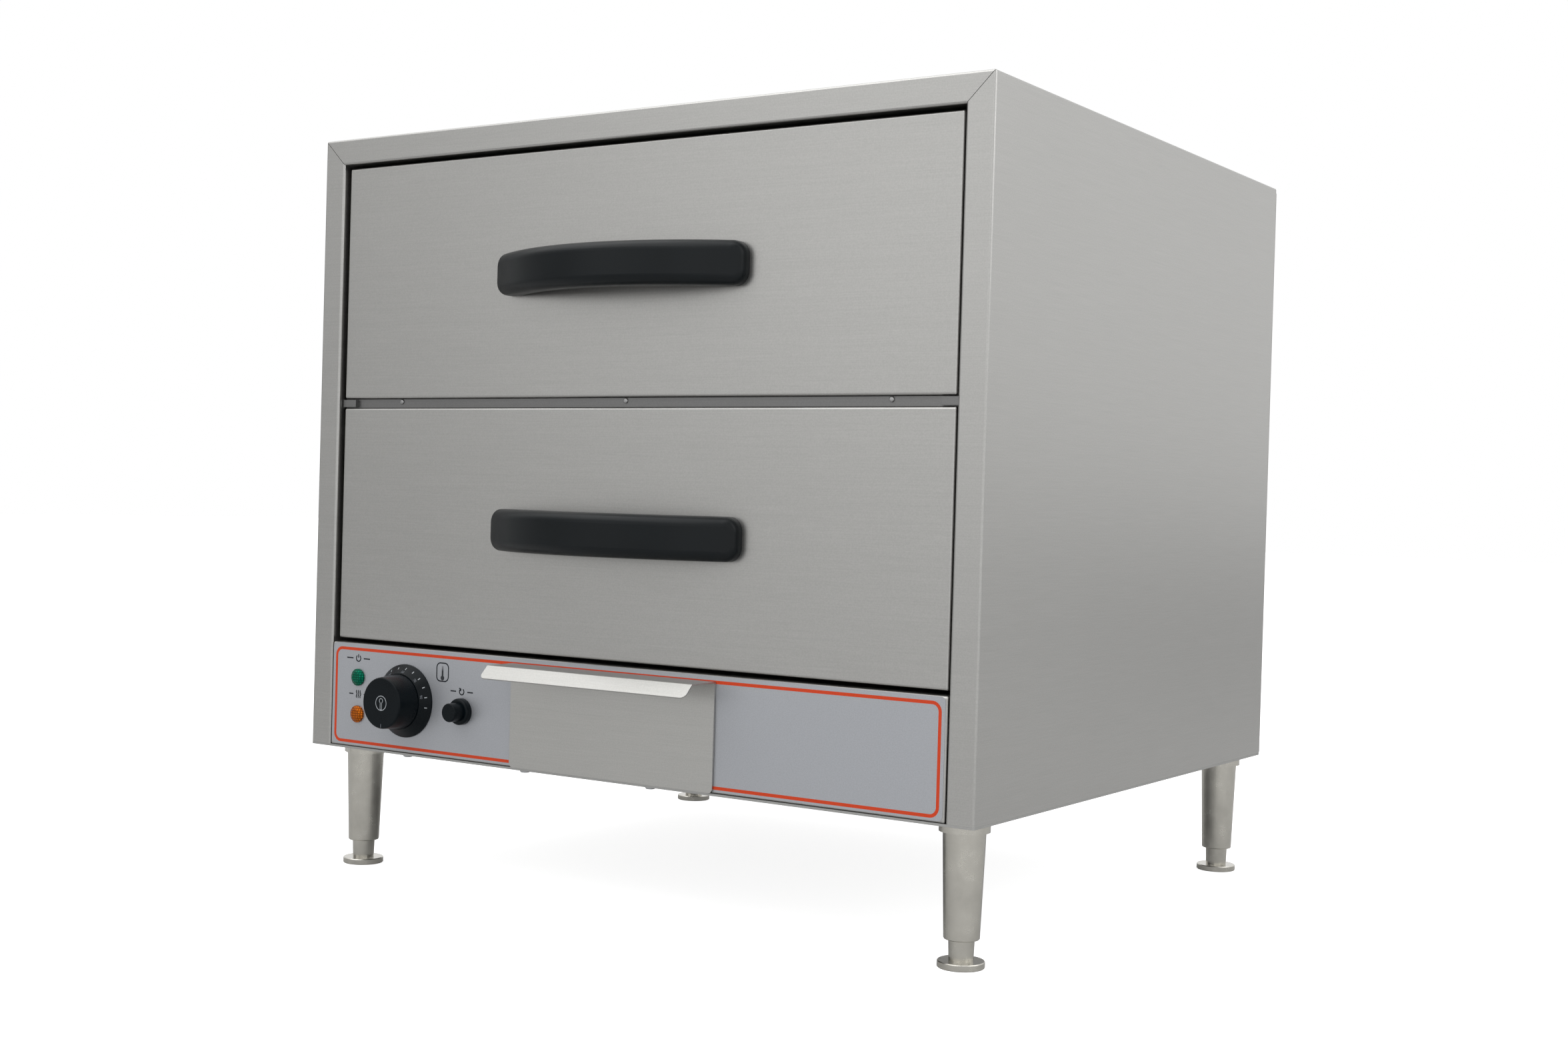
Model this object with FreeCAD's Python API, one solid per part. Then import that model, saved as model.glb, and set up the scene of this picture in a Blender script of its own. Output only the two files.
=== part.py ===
"""Countertop warming cabinet with two heated drawers, a water tray and a control panel.

Units are millimetres. +X is the cabinet's right as seen from the front, +Y runs from the
front to the back and +Z is up. The pieces are modelled with Y = 0 on the front flanges and
Z = 0 on the floor, and are moved on saving so that the origin is the centre of the base
of the bounding box.
"""
import FreeCAD, Part
import math
import os
from FreeCAD import Rotation, Vector

# ---------------------------------------------------------------- driving dimensions
# Sheet metal
SHEET = 1.2              # outer steel and drawer fronts
LINER_SHEET = 1.0        # cavity liner and tray pan
PAN_SHEET = 0.8          # food pans
BASE_SHEET = 2.0         # base plate
BEND_RADIUS = 2.0        # outside radius of the folded edges
SEAT = 0.3               # gap left at a loose seat
FIT = 0.1                # radial clearance of a shaft in its bore
OVERCUT = 1.0            # how far a cutting tool runs past the face it opens
SAME = 1e-3              # two coordinates closer than this are the same
HEX_SIDES = 6

# Cabinet
CABINET_WIDTH = 700.0
CABINET_DEPTH = 600.4    # front flange face to rear flange face
FLANGE_WIDTH = 24.2      # front flange on each side
TOP_FLANGE = 23.5        # front flange along the top
HEM_DEPTH = 12.0         # return behind each front flange
REAR_FLANGE = 15.0       # inward flange that carries the back panel
MITRE_GAP = 0.4          # open joint where the front flanges meet
REAR_SPACE = 25.4        # from the cavity's back wall to the rear flange face
SIDE_SPACE = 22.8        # from the cavity wall to the outer face of the side
BASE_FLANGE = 18.0       # upstand round the base plate

# Drawer fronts
FRONT_HEIGHT = 213.0
FRONT_RECESS = 4.6       # drawer face behind the flange face
FRONT_DEPTH = 17.4       # depth of the folded drawer front
FRONT_SIDE_GAP = 3.3
FRONT_TOP_GAP = 3.3
RAIL_GAP = 8.9           # between the two drawer fronts
FRONT_CORNER = 1.5       # radius of the front's four corners

# Drawer frames, pans and slides
FRAME_LOW = 55.0         # frame's lower edge above the front's lower edge
FRAME_HEIGHT = 135.0
FRAME_REAR_GAP = 40.0    # frame's back to the cavity's back wall
SHELF_SIDE = 50.6        # frame's shelf beside the pan
SHELF_FRONT = 20.6
SHELF_REAR = 20.8
PAN_DEPTH = 150.0
PAN_CLEARANCE = 4.0      # pan wall to the edge of the shelf's hole
PAN_RIM = 14.0           # width of the pan's rim
PAN_CORNER = 25.0
PAN_FLOOR_RADIUS = 12.0
SLIDE_RISE = 85.0        # slide's middle above the front's lower edge
SLIDE_HEIGHT = 46.0
SLIDE_FLANGE = 1.5       # thickness of the slide's rolled flanges
SLIDE_WEB = 1.2
SLIDE_GAP = 2.1          # between the webs of neighbouring members
SLIDE_START = 26.0       # front end of the outer member
SLIDE_REAR_GAP = 15.0    # outer member to the cavity's back wall
SLIDE_SHORTER = 30.0     # how much shorter the moving members are
SLIDE_SETBACK = 6.0      # middle member behind the outer member's end

# Handles
HANDLE_LENGTH = 262.0
HANDLE_HEIGHT = 36.5
HANDLE_REACH = 48.6      # grip's crown in front of the drawer face
HANDLE_CORNER = 12.0     # radius of the outline's corners, seen from the front
HANDLE_END = 9.0         # depth of the end wall before the grip curves away
HANDLE_SEAM = 6.0        # depth of the back shell at its ends
HANDLE_SEAM_GAP = 0.3
GRIP_THICKNESS = 17.0    # grip and back shell together, at the middle
BACK_SHELL = 5.0         # back shell at the middle
HANDLE_FOOT = 25.0       # length of the foot at each end
GRIP_ROUND = 8.5         # rounding of the outer edges, limited by the end wall
GRIP_LAND = 0.4          # flat left on the end wall beside that rounding
BACK_ROUND = 2.5         # rounding of the finger gap's edges
HANDLE_SCREW_INSET = 13.0
HANDLE_SCREW_R = 2.5
HANDLE_SCREW_HEAD_R = 4.2
HANDLE_SCREW_HEAD = 3.2
HANDLE_SCREW_BITE = 9.0  # how far the screw enters the back shell

# Control panel
PANEL_HEIGHT = 95.4
PANEL_SIDE_GAP = 0.9
PANEL_TOP_GAP = 3.6
PANEL_DEPTH = 14.0
OVERLAY = 0.3            # thickness of the printed foil
OVERLAY_INSET = 1.6      # foil's edge to the fascia's edge, at the sides and below
OVERLAY_TOP_INSET = 0.5
OVERLAY_CORNER = 4.0

# Water tray
TRAY_OFFSET = 4.75       # tray's middle to the right of the cabinet's middle
TRAY_WIDTH = 216.5
TRAY_FRONT_HEIGHT = 90.2
TRAY_PROUD = 2.5         # tray front's face ahead of the panel's face
TRAY_CORNER = 4.0
LIP_REACH = 33.0         # end of the level lip ahead of the panel's face
LIP_DROP = 14.5          # length of the lip's sloping flange
LIP_SLOPE = 45.0         # degrees below level
LIP_CORNER = 5.0
TRAY_PAN_HEIGHT = 50.0
TRAY_PAN_LENGTH = 431.3
TRAY_RIM = 8.0
TRAY_SIDE_COVER = 14.75  # tray front's edge to the pan's wall
TRAY_RISE = 20.8         # underside of the pan above the base plate
TRAY_SLOT_MARGIN = 2.5
GUIDE_LEDGE = 6.0
GUIDE_FOOT = 12.0
GUIDE_LENGTH = 425.0

# Dial, knob and thermostat
DIAL_FROM_EDGE = 94.5    # from the panel's left edge
DIAL_UP = 47.4           # above the panel's lower edge
BEZEL_R = 33.0
BEZEL_TOP_R = 25.2
BEZEL_RIM = 1.3
BEZEL_HEIGHT = 8.9
BEZEL_WELL_R = 22.0
KNOB_BASE_R = 24.5
KNOB_FACE_R = 22.8
KNOB_GAP = 0.6           # bezel's crown to the back of the knob
KNOB_HEIGHT = 21.2
KNOB_EDGE = 1.6
KNOB_HUB_R = 8.0
KNOB_MARK_WIDTH = 1.3
KNOB_MARK_LENGTH = 3.4
KNOB_MARK_DEPTH = 0.5
KNOB_MARK_INSET = 1.0
SHAFT_R = 3.0
SHAFT_IN_KNOB = 16.0
SHAFT_IN_BODY = 18.0
THERMOSTAT_SIZE = (44.0, 34.0, 40.0)
BUSH_R = 5.0
BUSH_CLEARANCE = 0.5
CAPILLARY_R = 0.9
CAPILLARY_BEND = 8.0
CAPILLARY_BACK = 80.0    # depth at which the capillary rises into the cavity
BULB_R = 3.0
BULB_LENGTH = 90.0
BULB_RISE = 27.0         # bulb above the cavity floor
BULB_ROUND = 1.8         # rounding of the bulb's ends

# Lamps and reset button
LAMP_FROM_EDGE = 34.3
LAMP_UPS = (64.3, 30.5)
LENS_R = 7.75
LENS_BASE = 1.6
LENS_HEIGHT = 3.6
LENS_TOP_R = 4.6
LENS_FACETS = 14
LAMP_STEM_R = 5.5
LAMP_LENGTH = 22.0
LAMP_NUT_R = 8.5
LAMP_NUT = 3.0
RESET_FROM_EDGE = 163.0
RESET_UP = 43.5
COLLAR_R = 11.75
COLLAR_HEIGHT = 6.0
COLLAR_ROUND = 2.2
COLLAR_NECK_R = 9.5
BUTTON_R = 8.25
BUTTON_REACH = 17.5      # button's end ahead of the panel's face
BUTTON_INSIDE = 4.0      # button's rear behind the panel's face
BUTTON_ROUND = 1.2
BUTTON_TRAVEL = 3.0      # how far the button can be pressed
LIMITER_SIZE = (24.0, 30.0, 24.0)
SPRING_ROOM = 6.0        # between the pressed button and the bottom of the well
SPRING_WIRE_R = 0.4
SPRING_WIRE_SIDES = 8
SPRING_R = 5.6
SPRING_TURNS = 4.0

# Lower compartment
DECK_DROP = 3.5          # deck's top below the panel's top edge
DECK_FLANGE = 15.0
DECK_FRONT_GAP = 1.0     # deck behind the panel's returns
DECK_SLOT = (62.0, 9.0)
DECK_SLOT_PITCH = (92.0, 40.0)
DECK_SLOT_COUNT = (5, 9)
DECK_SLOT_START = 120.0
ELEMENT_R = 4.0
ELEMENT_RISE = 10.8      # element's centre above the base plate
ELEMENT_PITCH = 50.0
ELEMENT_HAIRPINS = 2     # of two straight runs each
ELEMENT_FRONT = 60.0
ELEMENT_BEND_BACK = 420.0
ELEMENT_END = 490.0
ELEMENT_PIN_R = 2.0
ELEMENT_PIN = 15.0
BRACKET_PLACES = (110.0, 280.0, 455.0)
BRACKET_THICKNESS = 3.0
BRACKET_OVERHANG = 14.0
TERMINAL_SIZE = (70.0, 28.0, 26.0)
TERMINAL_FROM_SIDE = 155.0
TERMINAL_FROM_BACK = 110.0
TERMINAL_WELL_R = 5.0
TERMINAL_WELL = 4.0
TERMINAL_POLES = 3

# Middle rail
RAIL_HEIGHT = 34.0
RAIL_BACK_GAP = 0.5      # between the drawer's back cover and the rail
RAIL_FLANGE = 15.0
NOSE_CLEARANCE = 0.5
NOSE_SETBACK = 4.4       # nose behind the drawer faces
NOSE_END_GAP = 1.0
TAB_WIDTH = 16.0
TAB_SETBACK = 0.6
TAB_TRIM = 0.7

# Back panel and cord gland
GLAND_FROM_SIDE = 100.0
GLAND_RISE = 46.8        # above the base plate's underside
GLAND_THREAD_R = 10.0
GLAND_BORE_R = 5.5
GLAND_HEX = 27.0         # across the flats
GLAND_COLLAR = 5.0
GLAND_DOME = 17.0
GLAND_DOME_R = 11.5
GLAND_MOUTH_R = 8.5
GLAND_LOCKNUT = 6.0
GLAND_TAIL = 3.0
VENT = (46.0, 5.0)
VENT_PITCH = (64.0, 14.0)
VENT_COUNT = (5, 3)
VENT_RISE = 40.0
BACK_SCREW_R = 2.0
BACK_SCREW_HEAD_R = 4.0
BACK_SCREW_HEAD = 2.2
BACK_SCREW_LENGTH = 8.0
BACK_SCREW_EDGE = 8.5
SCREW_CLEARANCE = 0.25
BACK_SCREW_ROWS = 4

# Base screws
BASE_SCREW_FROM_EDGE = (115.0, 255.0, 392.0)
BASE_SCREW_DEPTH = 9.5
BASE_SCREW_R = 2.0
BASE_SCREW_HEAD_R = 4.6
BASE_SCREW_HEAD = 2.6
BASE_SCREW_LENGTH = 7.0
BASE_SCREW_DOME = 1.8    # rounding of the head's rim

# Legs and feet
LEG_HEIGHT = 113.2       # floor to the base plate's underside
LEG_INSET = 29.5         # leg's axis from the cabinet's side
LEG_FRONT = 41.0         # leg's axis behind the front flanges
LEG_REAR = 30.4
COLLAR_LEG_R = 19.9
COLLAR_LEG_HEIGHT = 8.8
LEG_TOP_R = 16.75
LEG_FOOT_R = 14.0
LEG_SLEEVE = 91.5        # collar and tapered body together
LEG_ROUND = 1.2
FLAT_OFFSET = 17.9
FLAT_HEIGHT = 5.0
FLAT_ANGLES = (61.0, 118.0, 24.0, 148.0)  # one per leg, seen from above
STEM_R = 10.2
STEM_FOOT_R = 9.6
STEM_INSIDE = 42.0
BORE_TOP_GAP = 22.0
FOOT_R = 18.5
FOOT_HEIGHT = 5.3
FOOT_CHAMFER = 0.6
STUD_R = 5.0
STUD_LENGTH = 12.0
NUT_HEIGHT = 8.0
NUT_FLATS = 17.0

# ---------------------------------------------------------------- worked-out places
HALF = CABINET_WIDTH / 2
BASE_TOP = LEG_HEIGHT + BASE_SHEET
PANEL_LOW = BASE_TOP
PANEL_TOP = PANEL_LOW + PANEL_HEIGHT
LOWER_FRONT = PANEL_TOP + PANEL_TOP_GAP
UPPER_FRONT = LOWER_FRONT + FRONT_HEIGHT + RAIL_GAP
OPENING_TOP = UPPER_FRONT + FRONT_HEIGHT + FRONT_TOP_GAP
CABINET_TOP = OPENING_TOP + TOP_FLANGE
OPEN_X = HALF - FLANGE_WIDTH
INSIDE_X = HALF - SHEET

LINER_OUT_X = HALF - SIDE_SPACE
LINER_IN_X = LINER_OUT_X - LINER_SHEET
LINER_BACK = CABINET_DEPTH - REAR_SPACE
LINER_FRONT = HEM_DEPTH + SEAT
LINER_TOP = OPENING_TOP + SHEET + SEAT + LINER_SHEET

FRONT_X = OPEN_X - FRONT_SIDE_GAP
FRONT_BACK = FRONT_RECESS + FRONT_DEPTH
COVER_BACK = FRONT_BACK + SHEET

DECK_TOP = PANEL_TOP - DECK_DROP
DECK_UNDER = DECK_TOP - SHEET

PANEL_X = OPEN_X - PANEL_SIDE_GAP
DIAL_X = DIAL_FROM_EDGE - PANEL_X
DIAL_Z = PANEL_LOW + DIAL_UP
LAMP_X = LAMP_FROM_EDGE - PANEL_X
LAMP_ZS = tuple(PANEL_LOW + up for up in LAMP_UPS)
RESET_X = RESET_FROM_EDGE - PANEL_X
RESET_Z = PANEL_LOW + RESET_UP
LIMITER_WELL = BUTTON_INSIDE + BUTTON_TRAVEL + SPRING_ROOM

SLIDE_OUTER_X = LINER_IN_X
SLIDE_MIDDLE_X = SLIDE_OUTER_X - SLIDE_WEB - SLIDE_GAP
SLIDE_INNER_X = SLIDE_MIDDLE_X - SLIDE_WEB - SLIDE_GAP - SLIDE_GAP - SLIDE_GAP
FRAME_X = SLIDE_INNER_X - SLIDE_WEB
SLIDE_END = LINER_BACK - SLIDE_REAR_GAP
SLIDE_LENGTH = SLIDE_END - SLIDE_START
FRAME_BACK = LINER_BACK - FRAME_REAR_GAP

PAN_HOLE_X = FRAME_X - SHELF_SIDE
PAN_HOLE_FRONT = COVER_BACK + SHELF_FRONT
PAN_HOLE_BACK = FRAME_BACK - SHELF_REAR

TRAY_LEFT = TRAY_OFFSET - TRAY_WIDTH / 2
TRAY_RIGHT = TRAY_OFFSET + TRAY_WIDTH / 2
TRAY_LOW = BASE_TOP + SEAT
TRAY_TOP = TRAY_LOW + TRAY_FRONT_HEIGHT
TRAY_BACK_FACE = -TRAY_PROUD + SHEET
TRAY_PAN_X = TRAY_WIDTH / 2 - TRAY_SIDE_COVER
TRAY_PAN_LOW = BASE_TOP + TRAY_RISE
TRAY_PAN_TOP = TRAY_PAN_LOW + TRAY_PAN_HEIGHT
TRAY_RIM_X = TRAY_PAN_X + TRAY_RIM
TRAY_SLOT_X = TRAY_RIM_X + TRAY_SLOT_MARGIN
GUIDE_X = TRAY_RIM_X + SEAT
GUIDE_FRONT = PANEL_DEPTH + DECK_FRONT_GAP

LEG_PLACES = {
    "front_left": (-HALF + LEG_INSET, LEG_FRONT),
    "front_right": (HALF - LEG_INSET, LEG_FRONT),
    "back_left": (-HALF + LEG_INSET, CABINET_DEPTH - LEG_REAR),
    "back_right": (HALF - LEG_INSET, CABINET_DEPTH - LEG_REAR),
}
SLEEVE_LOW = LEG_HEIGHT - LEG_SLEEVE

BACK_FACE = CABINET_DEPTH + SHEET
GLAND_X = HALF - GLAND_FROM_SIDE
GLAND_Z = LEG_HEIGHT + GLAND_RISE
GLAND_END = BACK_FACE + GLAND_COLLAR + GLAND_DOME
HANDLE_CROWN = FRONT_RECESS - HANDLE_REACH
ORIGIN_Y = (HANDLE_CROWN + GLAND_END) / 2


# ---------------------------------------------------------------- shape helpers
def block(x0, x1, y0, y1, z0, z1):
    """Box between two corners."""
    return Part.makeBox(x1 - x0, y1 - y0, z1 - z0, Vector(x0, y0, z0))


def rod_y(x, z, y0, y1, radius):
    """Cylinder along Y from y0 to y1."""
    return Part.makeCylinder(radius, y1 - y0, Vector(x, y0, z), Vector(0, 1, 0))


def rod_z(x, y, z0, z1, radius):
    """Cylinder along Z from z0 to z1."""
    return Part.makeCylinder(radius, z1 - z0, Vector(x, y, z0), Vector(0, 0, 1))


def cone_y(x, z, y0, y1, radius0, radius1):
    """Cone along Y, with radius0 at y0 and radius1 at y1."""
    return Part.makeCone(radius0, radius1, y1 - y0, Vector(x, y0, z), Vector(0, 1, 0))


def prism(points, run):
    """Straight prism over a closed outline of points."""
    outline = Part.makePolygon([Vector(*point) for point in points + points[:1]])
    return Part.Face(outline).extrude(Vector(*run))


def hexagon(centre, axis, flats, height, turn=0.0):
    """Hexagonal prism with the given width across its flats, from centre along axis."""
    step = 360 / HEX_SIDES
    corner_r = flats / 2 / math.cos(math.radians(step / 2))
    points = []
    for corner in range(HEX_SIDES):
        angle = math.radians(step * corner + turn)
        points.append((corner_r * math.cos(angle), corner_r * math.sin(angle), 0))
    solid = prism(points, (0, 0, height))
    solid.Placement = FreeCAD.Placement(Vector(*centre), Rotation(Vector(0, 0, 1), Vector(*axis)))
    return solid


def joined(shapes):
    """One shape from several that touch."""
    first = shapes[0]
    return first.fuse(shapes[1:]).removeSplitter()


def minus(shape, tools):
    """Shape with every tool cut away."""
    return shape.cut(Part.Compound(tools)) if len(tools) > 1 else shape.cut(tools[0])


def along(edge, axis):
    """True for a straight edge parallel to one of the main axes."""
    box = edge.BoundBox
    spans = (box.XLength, box.YLength, box.ZLength)
    return all(span < SAME for span, share in zip(spans, axis) if share == 0)


def near(value, target):
    return abs(value - target) < SAME


def edges_at(shape, axis, x=None, y=None, z=None):
    """Straight edges along axis whose middle lies at the coordinates that are given.

    A coordinate may be a tuple of allowed values.
    """
    found = []
    for edge in shape.Edges:
        if not along(edge, axis):
            continue
        middle = edge.CenterOfMass
        wanted = ((middle.x, x), (middle.y, y), (middle.z, z))
        if all(goal is None or any(near(value, one) for one in as_tuple(goal)) for value, goal in wanted):
            found.append(edge)
    return found


def as_tuple(value):
    return value if isinstance(value, tuple) else (value,)


def rounded(shape, radius, edges):
    return shape.makeFillet(radius, edges)


def folded_front(x0, x1, y0, depth, z0, z1, corner):
    """Sheet front folded back on all four sides, open at the rear."""
    outer = block(x0, x1, y0, y0 + depth, z0, z1)
    outer = rounded(outer, corner, edges_at(outer, (0, 1, 0)))
    face_edges = [edge for edge in outer.Edges
                  if near(edge.BoundBox.YMin, y0) and near(edge.BoundBox.YMax, y0)]
    outer = rounded(outer, BEND_RADIUS, face_edges)
    inner = block(x0 + SHEET, x1 - SHEET, y0 + SHEET, y0 + depth + OVERCUT, z0 + SHEET, z1 - SHEET)
    return outer.cut(inner)


def round_tube(points, radius, bend):
    """Round bar along a chain of points, with tangent bends of one radius."""
    corners = [Vector(*point) for point in points]
    edges = []
    start = corners[0]
    for before, corner, after in zip(corners, corners[1:], corners[2:]):
        into = (corner - before).normalize()
        out = (after - corner).normalize()
        turn = into.getAngle(out)
        setback = bend * math.tan(turn / 2)
        first = corner - into * setback
        last = corner + out * setback
        bisector = (out - into).normalize()
        middle = corner + bisector * (bend / math.cos(turn / 2) - bend)
        edges.append(Part.LineSegment(start, first).toShape())
        edges.append(Part.Arc(first, middle, last).toShape())
        start = last
    edges.append(Part.LineSegment(start, corners[-1]).toShape())
    path = Part.Wire(edges)
    run = (corners[1] - corners[0]).normalize()
    profile = Part.Wire([Part.makeCircle(radius, corners[0], run)])
    return path.makePipeShell([profile], True, True)


def save(node, shape):
    """Move a piece to the part's frame and write it."""
    placed = shape.copy()
    placed.translate(Vector(0, -ORIGIN_Y, 0))
    placed.exportStep("parts/" + node + ".step")


# ---------------------------------------------------------------- cabinet
def cabinet_edges(shape, half_x, front, top):
    """The folded edges of the outer wrap: upright front, top side and top front."""
    edges = edges_at(shape, (0, 0, 1), x=(-half_x, half_x), y=front)
    edges += edges_at(shape, (0, 1, 0), x=(-half_x, half_x), z=top)
    edges += edges_at(shape, (1, 0, 0), y=front, z=top)
    return edges


def outer_wrap():
    """Top, sides and mitred front flanges, folded from one sheet."""
    outer = block(-HALF, HALF, 0, CABINET_DEPTH, BASE_TOP, CABINET_TOP)
    outer = rounded(outer, BEND_RADIUS, cabinet_edges(outer, HALF, 0, CABINET_TOP))
    inside_top = CABINET_TOP - SHEET
    low = BASE_TOP - OVERCUT
    inner = block(-INSIDE_X, INSIDE_X, SHEET, CABINET_DEPTH + OVERCUT, low, inside_top)
    inner = rounded(inner, BEND_RADIUS - SHEET, cabinet_edges(inner, INSIDE_X, SHEET, inside_top))
    wrap = outer.cut(inner)
    hem = block(-OPEN_X - SHEET, OPEN_X + SHEET, 0, HEM_DEPTH, BASE_TOP, OPENING_TOP + SHEET)
    rear = block(-INSIDE_X, INSIDE_X, CABINET_DEPTH - SHEET, CABINET_DEPTH, BASE_TOP, inside_top)
    rear_x = HALF - REAR_FLANGE
    rear_hole = block(-rear_x, rear_x, CABINET_DEPTH - 2 * SHEET, CABINET_DEPTH + OVERCUT, low,
                      CABINET_TOP - REAR_FLANGE)
    wrap = joined([wrap, hem, rear.cut(rear_hole)])
    wrap = wrap.cut(block(-OPEN_X, OPEN_X, -OVERCUT, HEM_DEPTH + OVERCUT, low, OPENING_TOP))
    hem_edges = edges_at(wrap, (0, 0, 1), x=(-OPEN_X, OPEN_X), y=0)
    hem_edges += edges_at(wrap, (1, 0, 0), y=0, z=OPENING_TOP)
    wrap = rounded(wrap, BEND_RADIUS, hem_edges)
    return minus(wrap, mitre_gaps() + back_screw_holes())


def mitre_gaps():
    """Thin cutters along the diagonal joints of the front flanges."""
    gaps = []
    for side in (-1, 1):
        run = Vector(side * FLANGE_WIDTH, 0, TOP_FLANGE)
        angle = math.degrees(math.atan2(TOP_FLANGE, side * FLANGE_WIDTH))
        length = run.Length + OVERCUT
        cutter = block(0, length, -OVERCUT, SHEET, -MITRE_GAP / 2, MITRE_GAP / 2)
        cutter.rotate(Vector(0, 0, 0), Vector(0, 1, 0), -angle)
        cutter.translate(Vector(side * OPEN_X, 0, OPENING_TOP))
        gaps.append(cutter)
    return gaps


def back_screw_places():
    """Screws along both sides, the top and the base of the back panel."""
    side_x = HALF - BACK_SCREW_EDGE
    low = BASE_TOP + 2 * BASE_FLANGE
    step = (CABINET_TOP - 2 * BASE_FLANGE - low) / (BACK_SCREW_ROWS - 1)
    places = []
    for row in range(BACK_SCREW_ROWS):
        places.append((-side_x, low + row * step))
        places.append((side_x, low + row * step))
    for x in (-HALF / 2, HALF / 2):
        places.append((x, CABINET_TOP - BACK_SCREW_EDGE))
    for x in (-HALF / 2, 0, HALF / 2):
        places.append((x, BASE_TOP + BASE_FLANGE / 2))
    return places


def back_screw_holes():
    radius = BACK_SCREW_R + SCREW_CLEARANCE
    start = CABINET_DEPTH - BASE_FLANGE
    return [rod_y(x, z, start, BACK_FACE + OVERCUT, radius) for x, z in back_screw_places()]


def back_screws():
    screws = []
    for x, z in back_screw_places():
        head = rod_y(x, z, BACK_FACE, BACK_FACE + BACK_SCREW_HEAD, BACK_SCREW_HEAD_R)
        rim = [edge for edge in head.Edges if near(edge.BoundBox.YMin, BACK_FACE + BACK_SCREW_HEAD)]
        head = rounded(head, BACK_SCREW_HEAD / 2, rim)
        shank = rod_y(x, z, BACK_FACE - BACK_SCREW_LENGTH, BACK_FACE, BACK_SCREW_R)
        screws.append(joined([head, shank]))
    return Part.Compound(screws)


def back_panel():
    """Rear cover with vent slots and the hole for the cord gland."""
    panel = block(-HALF, HALF, CABINET_DEPTH, BACK_FACE, LEG_HEIGHT, CABINET_TOP - BEND_RADIUS)
    panel = rounded(panel, TRAY_CORNER, edges_at(panel, (0, 1, 0)))
    y0 = CABINET_DEPTH - OVERCUT
    y1 = BACK_FACE + OVERCUT
    cuts = back_screw_holes()
    cuts.append(rod_y(GLAND_X, GLAND_Z, y0, y1, GLAND_THREAD_R + SCREW_CLEARANCE))
    width, height = VENT
    columns, rows = VENT_COUNT
    for column in range(columns):
        x = (column - columns / 2) * VENT_PITCH[0] - FLANGE_WIDTH
        for row in range(rows):
            z = LEG_HEIGHT + VENT_RISE + row * VENT_PITCH[1]
            cuts.append(block(x - width / 2, x + width / 2, y0, y1, z, z + height))
    return minus(panel, cuts)


def base_screw_places():
    return [(from_edge - HALF, BASE_SCREW_DEPTH) for from_edge in BASE_SCREW_FROM_EDGE]


def base_plate():
    """Floor of the cabinet, with upstands and the holes for legs and screws."""
    plate = block(-HALF, HALF, 0, CABINET_DEPTH, LEG_HEIGHT, BASE_TOP)
    plate = rounded(plate, BEND_RADIUS, edges_at(plate, (0, 0, 1), y=0))
    parts = [plate]
    flange_x = INSIDE_X - FIT
    top = BASE_TOP + BASE_FLANGE
    for side in (-1, 1):
        x0, x1 = sorted((side * flange_x, side * (flange_x - BASE_SHEET)))
        parts.append(block(x0, x1, BEND_RADIUS + SHEET, CABINET_DEPTH - 2 * SHEET, BASE_TOP, top))
    rear_x = HALF - REAR_FLANGE - BEND_RADIUS
    parts.append(block(-rear_x, rear_x, CABINET_DEPTH - BASE_SHEET, CABINET_DEPTH, BASE_TOP, top))
    cuts = back_screw_holes()
    low = LEG_HEIGHT - OVERCUT
    for x, y in LEG_PLACES.values():
        cuts.append(rod_z(x, y, low, BASE_TOP + OVERCUT, STUD_R + SCREW_CLEARANCE))
    for x, y in base_screw_places():
        cuts.append(rod_z(x, y, low, BASE_TOP + OVERCUT, BASE_SCREW_R + SCREW_CLEARANCE))
    return minus(joined(parts), cuts)


def base_screws():
    """Domed screws that hold the control panel's lower return."""
    screws = []
    for x, y in base_screw_places():
        head = rod_z(x, y, LEG_HEIGHT - BASE_SCREW_HEAD, LEG_HEIGHT, BASE_SCREW_HEAD_R)
        rim = [edge for edge in head.Edges if near(edge.BoundBox.ZMax, LEG_HEIGHT - BASE_SCREW_HEAD)]
        head = rounded(head, BASE_SCREW_DOME, rim)
        shank = rod_z(x, y, LEG_HEIGHT, LEG_HEIGHT + BASE_SCREW_LENGTH, BASE_SCREW_R)
        screws.append(joined([head, shank]))
    return Part.Compound(screws)


def cavity_liner():
    """Inner side walls and roof, folded from one sheet."""
    outer = block(-LINER_OUT_X, LINER_OUT_X, LINER_FRONT, LINER_BACK, DECK_TOP, LINER_TOP)
    inner = block(-LINER_IN_X, LINER_IN_X, LINER_FRONT - OVERCUT, LINER_BACK + OVERCUT,
                  DECK_TOP - OVERCUT, LINER_TOP - LINER_SHEET)
    return outer.cut(inner)


def liner_back():
    return block(-LINER_OUT_X, LINER_OUT_X, LINER_BACK, LINER_BACK + LINER_SHEET, DECK_TOP, LINER_TOP)


def insulation_boards():
    """Boards behind both sides, the roof and the back of the cavity."""
    front = LINER_FRONT + OVERCUT
    rear = BACK_FACE - BACK_SCREW_LENGTH - SEAT
    low = DECK_TOP + SEAT
    above = LINER_TOP + SEAT
    outside = INSIDE_X - SEAT
    boards = []
    for side in (-1, 1):
        x0, x1 = sorted((side * (LINER_OUT_X + SEAT), side * outside))
        boards.append(block(x0, x1, front, rear, low, LINER_TOP))
    boards.append(block(-outside, outside, front, rear, above, CABINET_TOP - SHEET - SEAT))
    boards.append(block(-LINER_OUT_X, LINER_OUT_X, LINER_BACK + LINER_SHEET + SEAT, rear, low, LINER_TOP))
    return Part.Compound(boards)


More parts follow.
